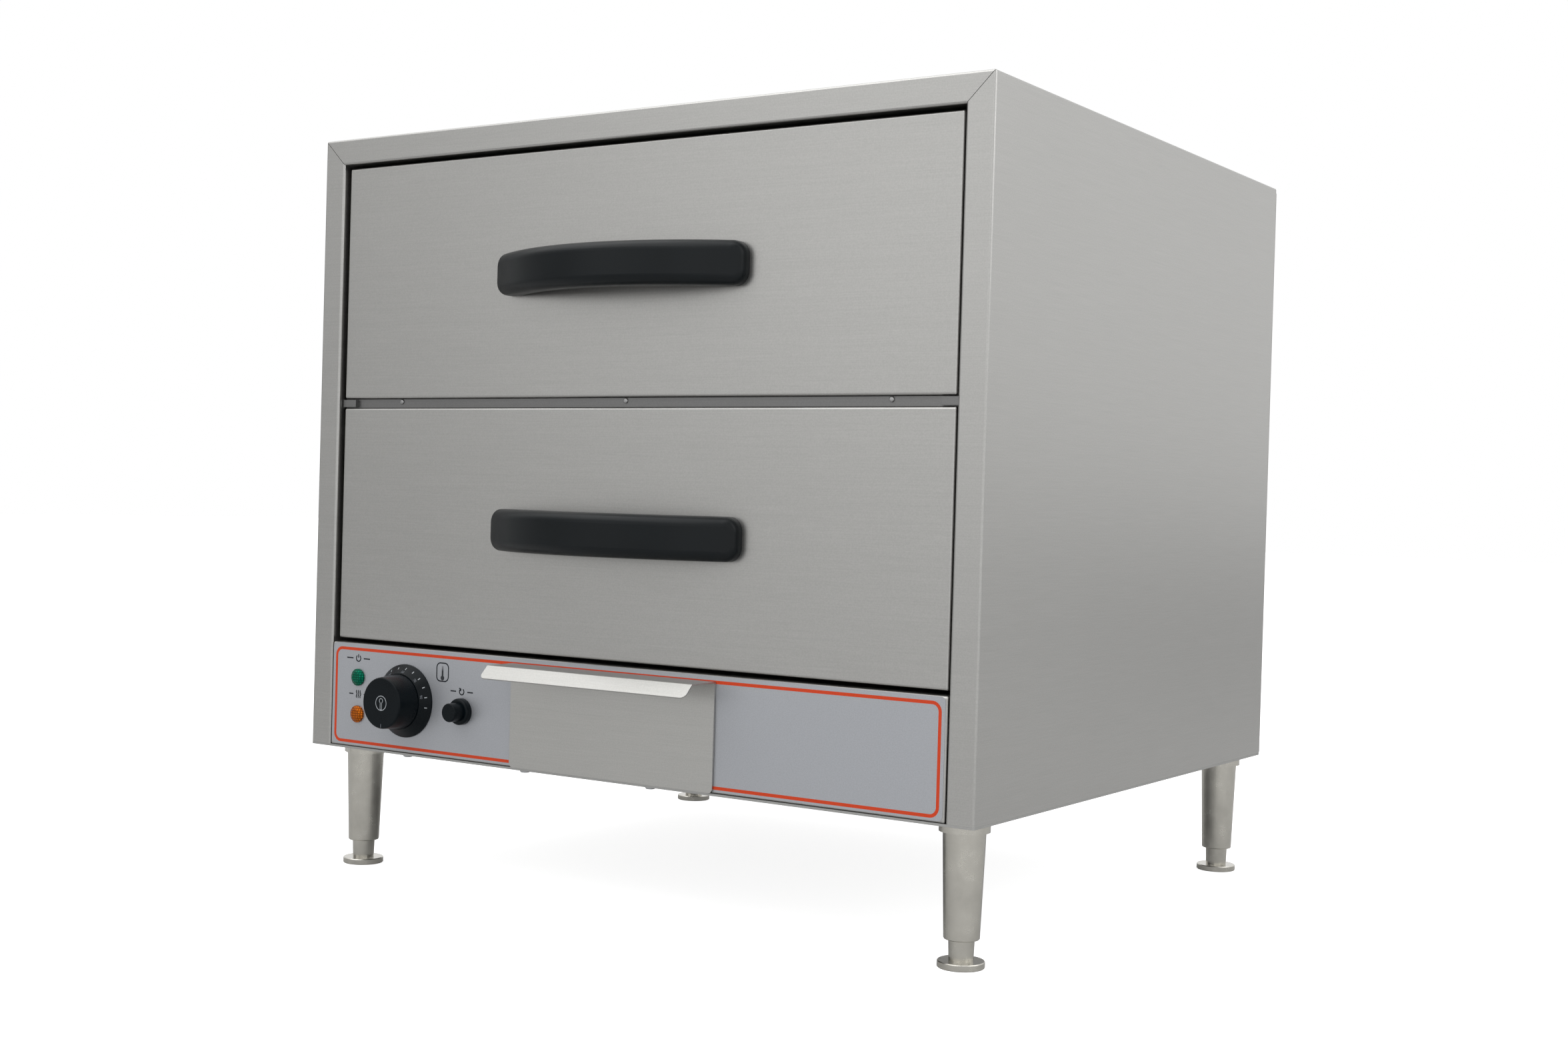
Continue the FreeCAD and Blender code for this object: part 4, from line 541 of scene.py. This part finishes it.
def edit_whole():
    """Open the active mesh with all of it selected."""
    bpy.ops.object.mode_set(mode="EDIT")
    bpy.ops.mesh.select_all(action="SELECT")


def close_outward():
    """Turn the open mesh's normals outward and close it."""
    bpy.ops.mesh.select_all(action="SELECT")
    bpy.ops.mesh.normals_make_consistent(inside=False)
    bpy.ops.object.mode_set(mode="OBJECT")


def blank():
    """Start an object with an empty mesh at the origin, in edit mode."""
    nothing_selected()
    bpy.ops.mesh.primitive_plane_add(size=1, location=(0, 0, 0))
    edit_whole()
    bpy.ops.mesh.delete(type="VERT")


def keep_selected(wanted):
    """Of the selected corners of the open mesh, leave only those that are wanted selected."""
    mesh = bmesh.from_edit_mesh(bpy.context.edit_object.data)
    for corner in mesh.verts:
        if corner.select and not wanted(corner.co):
            corner.select = False
    mesh.select_flush_mode()


def ahead_of(heading):
    """Direction at an angle clockwise from straight up, seen from the front."""
    turn = math.radians(heading)
    return Vector((math.sin(turn), 0, math.cos(turn)))


def around(middle, radius, angle):
    """Point at an angle clockwise from the top of a circle that faces the front."""
    return middle + radius * ahead_of(angle)


def stroke(point, heading, width, runs):
    """Draw a flat ribbon that faces the front, in edit mode.

    Heading is degrees clockwise from straight up. Each run is ("go", length) or
    ("turn", degrees, radius), where positive degrees turn right.
    """
    ahead = ahead_of(heading)
    slack = width / 100
    bpy.ops.mesh.select_all(action="DESELECT")
    bpy.ops.mesh.primitive_plane_add(size=width, location=point - ahead * width / 2,
                                     rotation=(math.pi / 2, math.radians(heading), 0))
    keep_selected(lambda corner: (corner - point).dot(ahead) < -width / 2)
    bpy.ops.mesh.delete(type="VERT")
    bpy.ops.mesh.select_all(action="SELECT")
    keep_selected(lambda corner: (corner - point).length < width / 2 + slack
                  and abs((corner - point).dot(ahead)) < slack
                  and abs(corner.y - point.y) < PRINT_STEP / 2)
    for run in runs:
        if run[0] == "go":
            step = run[1] * ahead_of(heading)
            bpy.ops.mesh.extrude_region_move(TRANSFORM_OT_translate={"value": step})
            point = point + step
            continue
        degrees, radius = run[1:]
        side = 90 if degrees > 0 else -90
        centre = around(point, radius, heading + side)
        steps = max(2, round(abs(degrees) / DEGREES_A_STEP))
        bpy.ops.mesh.spin(steps=steps, angle=math.radians(degrees), center=centre, axis=(0, -1, 0))
        heading += degrees
        point = around(centre, radius, heading - side)


def rounded_frame(middle, wide, high, radius, line):
    """Draw a rounded rectangle of a line, by its outer width and height and its line's own radius."""
    across, down = wide - line - 2 * radius, high - line - 2 * radius
    turn = ("turn", 90, radius)
    stroke(middle + Vector((-across / 2, 0, (high - line) / 2)), 90, line,
           [("go", across), turn, ("go", down), turn] * 2)


def thickened(depth):
    """Close the drawn ribbons where they meet, and give them a thickness towards the front."""
    bpy.ops.mesh.select_all(action="SELECT")
    bpy.ops.mesh.remove_doubles(threshold=PRINT_STEP / 4)
    bpy.ops.object.mode_set(mode="OBJECT")
    piece = bpy.context.active_object
    layer = piece.modifiers.new("print", "SOLIDIFY")
    layer.thickness = depth
    layer.offset = -1
    bpy.ops.object.modifier_apply(modifier=layer.name)


# ---------------------------------------------------------------- finishes of the CAD nodes
class WARMER_OT_steel(bpy.types.Operator):
    """Finish the outer steel, the inner sheet and the pans"""
    bl_idname = "warmer.steel"
    bl_label = "Steel sheet"

    def execute(self, context):
        steel = context.scene.warmer_steel
        skin = brushed("brushed skin", steel.skin_colour, steel.skin_roughness, steel)
        assign(skin, "outer_wrap", "control_panel", *both("drawer_front"))
        # painted light: the tray's front is the skin's steel made lighter
        assign(brushed("tray steel painted light", steel.tray_lit_colour, steel.skin_roughness, steel), "tray_front")
        # painted shade: the rail between the drawers is a darker copy of the sheet
        assign(brushed("rail steel painted shade", steel.rail_shaded_colour, steel.sheet_roughness, steel), "middle_rail")
        sheet = brushed("mill sheet", steel.sheet_colour, steel.sheet_roughness, steel)
        assign(sheet, "back_panel", "base_plate", "cavity_liner", "liner_back", "cavity_floor",
               "tray_guides", "element_brackets", *both("front_cover", "drawer_frame"))
        pans = plated("drawn pan", steel.pan_colour, steel.pan_roughness, steel.pan_mottle, steel.pan_grit)
        assign(pans, "tray_pan", *both("food_pan"))
        return {"FINISHED"}


class WARMER_OT_plating(bpy.types.Operator):
    """Finish legs, feet, slides, fasteners and other plated parts"""
    bl_idname = "warmer.plating"
    bl_label = "Plated parts"

    def execute(self, context):
        plating = context.scene.warmer_plating
        nickel = plated("satin nickel", plating.nickel_colour, plating.nickel_roughness,
                        plating.nickel_mottle, plating.nickel_grit)
        for corner in ("front_left", "front_right", "back_left", "back_right"):
            assign(nickel, "leg_" + corner, "foot_" + corner)
        zinc = plated("bright zinc", plating.zinc_colour, plating.zinc_roughness,
                      plating.mottle, plating.grit)
        assign(zinc, *both("slide_outers", "slide_middles", "slide_inners", "handle_screws"),
               "back_screws", "base_screws", "leg_nuts", "knob_shaft", "reset_spring", "thermostat_body")
        copper = plated("drawn copper", plating.copper_colour, plating.copper_roughness,
                        plating.mottle, plating.grit)
        assign(copper, "thermostat_bulb")
        sheath = plated("heat-darkened sheath", plating.sheath_colour, plating.sheath_roughness,
                        plating.sheath_mottle, plating.grit)
        assign(sheath, "heating_element")
        return {"FINISHED"}


class WARMER_OT_plastics(bpy.types.Operator):
    """Finish handles, knob, bezel, button, gland, lenses and insulation"""
    bl_idname = "warmer.plastics"
    bl_label = "Plastics"

    def execute(self, context):
        plastic = context.scene.warmer_plastic
        handle = moulded("handle plastic", plastic.handle_colour, plastic.handle_roughness,
                         plastic.handle_specular, plastic.handle_texture, plastic.texture_pitch)
        assign(handle, *both("handle_grip", "handle_back"))
        black = moulded("black plastic", plastic.knob_colour, plastic.knob_roughness,
                        plastic.knob_specular, plastic.knob_texture, plastic.texture_pitch)
        assign(black, "dial_bezel", "knob", "reset_collar", "reset_button", "cable_gland",
               "reset_limiter", "terminal_block", "lamp_bodies")
        for name, tint, lens in (("green lens", plastic.green_colour, "power_lens"),
                                 ("amber lens", plastic.amber_colour, "heat_lens")):
            assign(lens_glass(name, tint, plastic.prism_pitch, plastic.prism_depth), lens)
        assign(glass_wool("glass wool board", plastic.wool_colour, plastic.wool_depth), "insulation_boards")
        return {"FINISHED"}


# ---------------------------------------------------------------- printed foil
class WARMER_OT_foil(bpy.types.Operator):
    """Finish the foil and lay its border line and symbols"""
    bl_idname = "warmer.foil"
    bl_label = "Printed foil"

    def execute(self, context):
        panel = context.scene.warmer_panel
        assign(foil_sheet("printed foil", panel.foil_colour), "panel_overlay")
        border_line(panel, printed("border print", panel.border_colour, panel.ink_roughness))
        ink = printed("symbol print", panel.symbol_colour, panel.ink_roughness)
        power_symbol(panel, ink)
        heat_symbol(panel, ink)
        reset_symbol(panel, ink)
        gauge_symbol(panel, ink, fading_ink(panel))
        return {"FINISHED"}


def on_foil(middle):
    """Point just under the foil's face."""
    return Vector((middle[0], FOIL_FACE + PRINT_SINK, middle[2]))


def laid_on_foil(name, panel, ink):
    """Finish what has been drawn as one print on the foil."""
    thickened(panel.print_height)
    settled(name, "cabinet", ink)


def dashes(panel, middle, reach):
    """Draw a short level line on each side of a symbol, as far as its reach in symbol heights."""
    start, end = DASH_START * panel.symbol_height, reach * panel.symbol_height
    for side, heading in ((-1, -90), (1, 90)):
        stroke(middle + Vector((side * start, 0, 0)), heading, panel.symbol_line, [("go", end - start)])


def border_line(panel, ink):
    """Rounded rectangle round the foil."""
    middle = on_foil((0, 0, (panel.border_low + panel.border_high) / 2))
    blank()
    rounded_frame(middle, 2 * panel.border_ends, panel.border_high - panel.border_low,
                  panel.border_corner, panel.border_width)
    laid_on_foil("panel_border_line", panel, ink)


def power_symbol(panel, ink):
    """Open ring with a bar through its gap."""
    high = panel.symbol_height
    radius = 0.40 * high
    half_gap = 35
    bar_foot, bar = 0.08 * high, 0.45 * high
    middle = on_foil(panel.power_place)
    blank()
    stroke(around(middle, radius, half_gap), 90 + half_gap, panel.symbol_line,
           [("turn", 360 - 2 * half_gap, radius)])
    stroke(middle + Vector((0, 0, bar_foot)), 0, panel.symbol_line, [("go", bar)])
    dashes(panel, middle, 2.1)
    laid_on_foil("power_symbol", panel, ink)


def heat_symbol(panel, ink):
    """Three rising waves, each of three bends."""
    high = panel.symbol_height
    pitch = 0.34 * high
    bend = 40
    radius = high / 3 / (2 * math.sin(math.radians(bend)))
    middle = on_foil(panel.heat_place)
    blank()
    for column in (-1, 0, 1):
        stroke(middle + Vector((column * pitch, 0, -high / 2)), -bend, panel.symbol_line,
               [("turn", way * 2 * bend, radius) for way in (1, -1, 1)])
    dashes(panel, middle, 1.7)
    laid_on_foil("heat_symbol", panel, ink)


def reset_symbol(panel, ink):
    """Arrow that turns back on itself."""
    high = panel.symbol_height
    radius = 0.38 * high
    start, end = 30, 325
    point, barb, barb_angle = 0.10 * high, 0.32 * high, 42
    middle = on_foil(panel.reset_place)
    blank()
    stroke(around(middle, radius, start), start + 90, panel.symbol_line, [("turn", end - start, radius)])
    tip = around(around(middle, radius, end), point, end + 90) + Vector((0, PRINT_STEP, 0))
    for side in (-1, 1):
        stroke(tip, end + 270 + side * barb_angle, panel.symbol_line, [("go", barb)])
    dashes(panel, middle, 1.9)
    laid_on_foil("reset_symbol", panel, ink)


def gauge_symbol(panel, frame_ink, stem_ink):
    """Thermometer in a rounded frame."""
    wide, high = panel.gauge_width, panel.gauge_height
    corner = 0.24 * high
    bulb_drop, bulb_radius = 0.30 * high, 0.125 * high
    stem_foot, stem_width, stem = 0.05 * high, 0.12 * high, 0.58 * high
    middle = on_foil(panel.gauge_place)
    blank()
    rounded_frame(middle, wide, high, corner, panel.symbol_line)
    laid_on_foil("gauge_frame", panel, frame_ink)
    bulb = middle - Vector((0, 0, bulb_drop))
    blank()
    bpy.ops.mesh.primitive_circle_add(vertices=28, radius=bulb_radius, fill_type="NGON", location=bulb,
                                      rotation=(-math.pi / 2, 0, 0))
    stroke(bulb + Vector((0, PRINT_STEP, stem_foot)), 0, stem_width, [("go", stem)])
    laid_on_foil("gauge_stem", panel, stem_ink)


# ---------------------------------------------------------------- dial
class WARMER_OT_dial(bpy.types.Operator):
    """Mark the bezel with its scale and the knob with its sign"""
    bl_idname = "warmer.dial"
    bl_label = "Dial scale"

    def execute(self, context):
        dial = context.scene.warmer_dial
        panel = context.scene.warmer_panel
        light, faint, sign = (printed(name, tint, panel.ink_roughness) for name, tint in (
            ("mark paint", dial.mark_colour), ("figure paint", dial.label_colour),
            ("sign paint", dial.sign_colour)))
        scale_marks(dial, panel.print_height, light)
        scale_figures(dial, panel.print_height, faint)
        knob_sign(dial, panel.print_height, sign)
        knob_pointer(dial, faint)
        return {"FINISHED"}


def laid_on_cone(piece, dial, radius):
    """Turn a flat piece whose face is +Z and top is +Y so that it lies on the cone at the dial's top."""
    cone_foot = BEZEL_HIGH.y - dial.bezel_rim
    run, rise = BEZEL_RADIUS - dial.crown_radius, cone_foot - BEZEL_LOW.y
    point = Vector((DIAL_X, cone_foot - (BEZEL_RADIUS - radius) * rise / run, DIAL_Z + radius))
    along = Vector((0, rise, run)).normalized()
    outward = Vector((0, -run, rise)).normalized()
    turn = Matrix((along.cross(outward), along, outward)).transposed().to_4x4()
    piece.matrix_world = Matrix.Translation(point - outward * PRINT_SINK) @ turn
    bpy.ops.object.transform_apply(location=True, rotation=True, scale=True)


def turn_clockwise(degrees):
    """Turn the selected object round the dial's axis, clockwise from the front."""
    bpy.ops.transform.rotate(value=-math.radians(degrees), orient_axis="Y", orient_type="GLOBAL",
                             center_override=(DIAL_X, 0, DIAL_Z))


def turned_copies(first, count, step):
    """The object and its copies, each turned a step further clockwise round the dial."""
    made = [first]
    for _ in range(1, count):
        nothing_selected()
        made[-1].select_set(True)
        bpy.context.view_layer.objects.active = made[-1]
        bpy.ops.object.duplicate()
        made.append(bpy.context.active_object)
        turn_clockwise(step)
    return made


def scale_marks(dial, depth, paint):
    """Short radial marks on the bezel's cone."""
    nothing_selected()
    bpy.ops.mesh.primitive_plane_add(size=1)
    mark = bpy.context.active_object
    mark.scale = (dial.mark_width, dial.mark_length, 1)
    bpy.ops.object.transform_apply(scale=True)
    edit_whole()
    bpy.ops.mesh.bevel(affect="VERTICES", offset=dial.mark_width / 4, segments=3)
    bpy.ops.mesh.select_all(action="SELECT")
    bpy.ops.mesh.extrude_region_move(TRANSFORM_OT_translate={"value": (0, 0, depth)})
    close_outward()
    laid_on_cone(mark, dial, dial.mark_radius)
    turn_clockwise(dial.first_mark)
    joined(turned_copies(mark, 2 * len(dial.labels.split()), dial.mark_step))
    settled("dial_marks", "cabinet", paint)


def scale_figures(dial, depth, paint):
    """Numbers at every other mark."""
    made = []
    for index, label in enumerate(dial.labels.split()):
        nothing_selected()
        bpy.ops.object.text_add()
        words = bpy.context.active_object
        words.data.body = label
        words.data.size = dial.label_height
        words.data.align_x = "CENTER"
        words.data.align_y = "CENTER"
        words.data.extrude = depth / 2
        words.data.resolution_u = 3
        bpy.ops.object.convert(target="MESH")
        edit_whole()
        bpy.ops.mesh.remove_doubles(threshold=PRINT_STEP / 10)
        close_outward()
        laid_on_cone(words, dial, dial.label_radius)
        turn_clockwise(dial.first_mark + dial.label_lead + 2 * index * dial.mark_step)
        bpy.ops.object.transform_apply(location=True, rotation=True, scale=True)
        made.append(words)
    joined(made)
    settled("dial_figures", "cabinet", paint)


def knob_sign(dial, depth, paint):
    """Ring with an outlined thermometer on the knob's face, bulb up."""
    bulb = 0.31 * dial.ring_radius
    stem = 0.46 * bulb            # half its width
    bulb_rise = 0.34 * dial.ring_radius
    stem_length = 0.85 * dial.ring_radius
    gap = math.degrees(math.asin(stem / bulb))
    middle = Vector((DIAL_X, KNOB_FACE + PRINT_SINK, DIAL_Z))
    top = middle + Vector((0, 0, bulb_rise))
    blank()
    stroke(around(middle, dial.ring_radius, 0), 90, dial.ring_line, [("turn", 360, dial.ring_radius)])
    stroke(around(top, bulb, 180 + gap), 270 + gap, dial.sign_line, [("turn", 360 - 2 * gap, bulb)])
    foot = around(top, bulb, 180 - gap) + Vector((0, PRINT_STEP, 0))
    stroke(foot, 180, dial.sign_line, [("go", stem_length), ("turn", 180, stem), ("go", stem_length)])
    thickened(depth)
    settled("knob_sign", "thermostat_knob", paint)


def knob_pointer(dial, paint):
    """Paint in the pointer's groove on the knob's face, a quarter of its depth."""
    start = Vector((DIAL_X, KNOB_FACE + dial.groove_depth + PRINT_SINK, DIAL_Z - dial.groove_end))
    blank()
    stroke(start, 0, dial.groove_width, [("go", dial.groove_length)])
    thickened(dial.groove_depth / 4)
    settled("knob_pointer", "thermostat_knob", paint)


# ---------------------------------------------------------------- rail screws
class WARMER_OT_screws(bpy.types.Operator):
    """Set the small pan-head screws in the rail between the drawers"""
    bl_idname = "warmer.screws"
    bl_label = "Rail screws"

    def execute(self, context):
        screws = context.scene.warmer_screws
        plating = context.scene.warmer_plating
        made = []
        for index in range(screws.count):
            nothing_selected()
            made.append(pan_head(screws, Vector(screws.first_place) + Vector((index * screws.pitch, 0, 0))))
        joined(made)
        zinc = plated("screw zinc", plating.screw_colour, plating.screw_roughness,
                      plating.mottle, plating.grit)
        settled("rail_screws", "cabinet", zinc)
        return {"FINISHED"}


def pan_head(screws, back):
    """Rounded head that faces the front, from the middle of its back."""
    smooth_under = 40      # degrees
    bpy.ops.mesh.primitive_circle_add(vertices=32, radius=screws.head_radius, fill_type="NGON",
                                      location=back, rotation=(math.pi / 2, 0, 0))
    head = bpy.context.active_object
    bpy.ops.object.transform_apply(location=True, rotation=True, scale=True)
    edit_whole()
    bpy.ops.mesh.extrude_region_move(TRANSFORM_OT_translate={"value": (0, -screws.head_height, 0)})
    bpy.ops.mesh.bevel(offset=screws.head_round * screws.head_radius, segments=5, affect="EDGES",
                       clamp_overlap=True)
    close_outward()
    bpy.ops.object.shade_smooth_by_angle(angle=math.radians(smooth_under))
    return head


# ---------------------------------------------------------------- studio
class WARMER_OT_studio(bpy.types.Operator):
    """Pale floor, soft lamps, white surroundings and the camera"""
    bl_idname = "warmer.studio"
    bl_label = "Studio"

    def execute(self, context):
        stage = context.scene.warmer_stage
        context.scene.view_settings.view_transform = "Standard"
        studio_camera(context.scene, stage)
        studio_floor(stage)
        studio_world(context.scene, stage)
        for lamp in LAMPS:
            soft_lamp(*lamp)
        return {"FINISHED"}


def studio_camera(scene, stage):
    """Camera at its place, turned by its line of sight and its up direction."""
    data = bpy.data.cameras.new("camera")
    data.lens = stage.lens
    data.sensor_width = stage.sensor
    camera = bpy.data.objects.new("camera", data)
    scene.collection.objects.link(camera)
    forward = Vector(stage.forward).normalized()
    right = forward.cross(Vector(stage.upward)).normalized()
    turn = Matrix((right, right.cross(forward), -forward)).transposed().to_4x4()
    camera.matrix_world = Matrix.Translation(Vector(stage.position)) @ turn
    scene.camera = camera


def studio_floor(stage):
    """Level floor that looks white and keeps the shadow."""
    nothing_selected()
    bpy.ops.mesh.primitive_plane_add(size=stage.floor_size, location=(0, 0, 0))
    floor = bpy.context.active_object
    floor.name = "studio_floor"
    made = Recipe("studio floor")
    made.set(Base_Color=stage.floor_colour, Roughness=0.9, Specular_IOR_Level=0.1)
    paths = made.node("ShaderNodeLightPath")
    mirrored = made.maths("MAXIMUM", paths.outputs["Is Glossy Ray"], paths.outputs["Is Transmission Ray"])
    glow = made.node("ShaderNodeEmission")
    glow.inputs["Color"].default_value = (1, 1, 1, 1)
    made.join(made.maths("ADD", made.product(paths.outputs["Is Camera Ray"], stage.floor_seen),
                         made.product(mirrored, stage.floor_mirrored)), glow.inputs["Strength"])
    total = made.node("ShaderNodeAddShader")
    made.join(made.shader.outputs["BSDF"], total.inputs[0])
    made.join(glow.outputs["Emission"], total.inputs[1])
    made.join(total.outputs["Shader"], made.output.inputs["Surface"])
    floor.data.materials.append(made.material)


def studio_world(scene, stage):
    """White where it is seen, a soft graded room where it is mirrored, and an even fill."""
    world = bpy.data.worlds.new("studio")
    scene.world = world
    world.use_nodes = True
    made = Nodes(world.node_tree)
    sky = made.node("ShaderNodeTexCoord")
    paths = made.node("ShaderNodeLightPath")
    glossy = paths.outputs["Is Glossy Ray"]
    room = 1.0
    for direction, whole, gone, change in ROOM:
        dot = made.node("ShaderNodeVectorMath", operation="DOT_PRODUCT")
        made.join(sky.outputs["Generated"], dot.inputs[0])
        dot.inputs[1].default_value = Vector(direction).normalized()
        wall = made.span(dot.outputs["Value"], 0.0, change, gone, whole, "SMOOTHSTEP")
        room = made.maths("ADD", room, wall)
    white = made.maths("MAXIMUM", paths.outputs["Is Camera Ray"], paths.outputs["Is Transmission Ray"])
    other = made.maths("SUBTRACT", 1.0, made.maths("MAXIMUM", white, glossy))
    strength = made.maths("ADD", made.maths("ADD", white, made.product(glossy, room)),
                          made.product(other, stage.fill))
    back = made.tree.nodes["Background"]
    back.inputs["Color"].default_value = (1, 1, 1, 1)
    made.join(strength, back.inputs["Strength"])


def soft_lamp(name, position, width, height, power):
    """Area lamp turned towards the lamps' target."""
    data = bpy.data.lights.new(name, "AREA")
    data.shape = "RECTANGLE"
    data.size = width
    data.size_y = height
    data.energy = power
    lamp = bpy.data.objects.new(name, data)
    bpy.context.scene.collection.objects.link(lamp)
    lamp.location = position
    lamp.rotation_euler = (Vector(LAMP_TARGET) - Vector(position)).to_track_quat("-Z", "Y").to_euler()


# ---------------------------------------------------------------- add-on
class WARMER_PT_panel(bpy.types.Panel):
    """The operators, in order"""
    bl_idname = "WARMER_PT_panel"
    bl_label = "Warming Drawer"
    bl_space_type = "VIEW_3D"
    bl_region_type = "UI"
    bl_category = "Warming Drawer"

    def draw(self, context):
        for operator in OPERATORS:
            self.layout.operator(operator.bl_idname)


SETTINGS = {
    "warmer_steel": SteelSettings,
    "warmer_plating": PlatingSettings,
    "warmer_panel": PanelSettings,
    "warmer_dial": DialSettings,
    "warmer_screws": ScrewSettings,
    "warmer_plastic": PlasticSettings,
    "warmer_stage": StageSettings,
}
OPERATORS = (
    WARMER_OT_steel,
    WARMER_OT_plating,
    WARMER_OT_plastics,
    WARMER_OT_foil,
    WARMER_OT_dial,
    WARMER_OT_screws,
    WARMER_OT_studio,
)


def register():
    for group in SETTINGS.values():
        bpy.utils.register_class(group)
    for operator in OPERATORS:
        bpy.utils.register_class(operator)
    bpy.utils.register_class(WARMER_PT_panel)
    for name, group in SETTINGS.items():
        setattr(bpy.types.Scene, name, PointerProperty(type=group))


def unregister():
    for name in SETTINGS:
        delattr(bpy.types.Scene, name)
    bpy.utils.unregister_class(WARMER_PT_panel)
    for operator in reversed(OPERATORS):
        bpy.utils.unregister_class(operator)
    for group in reversed(list(SETTINGS.values())):
        bpy.utils.unregister_class(group)


def main():
    register()
    for operator in OPERATORS:
        group, name = operator.bl_idname.split(".")
        getattr(getattr(bpy.ops, group), name)()


if __name__ == "__main__":
    main()
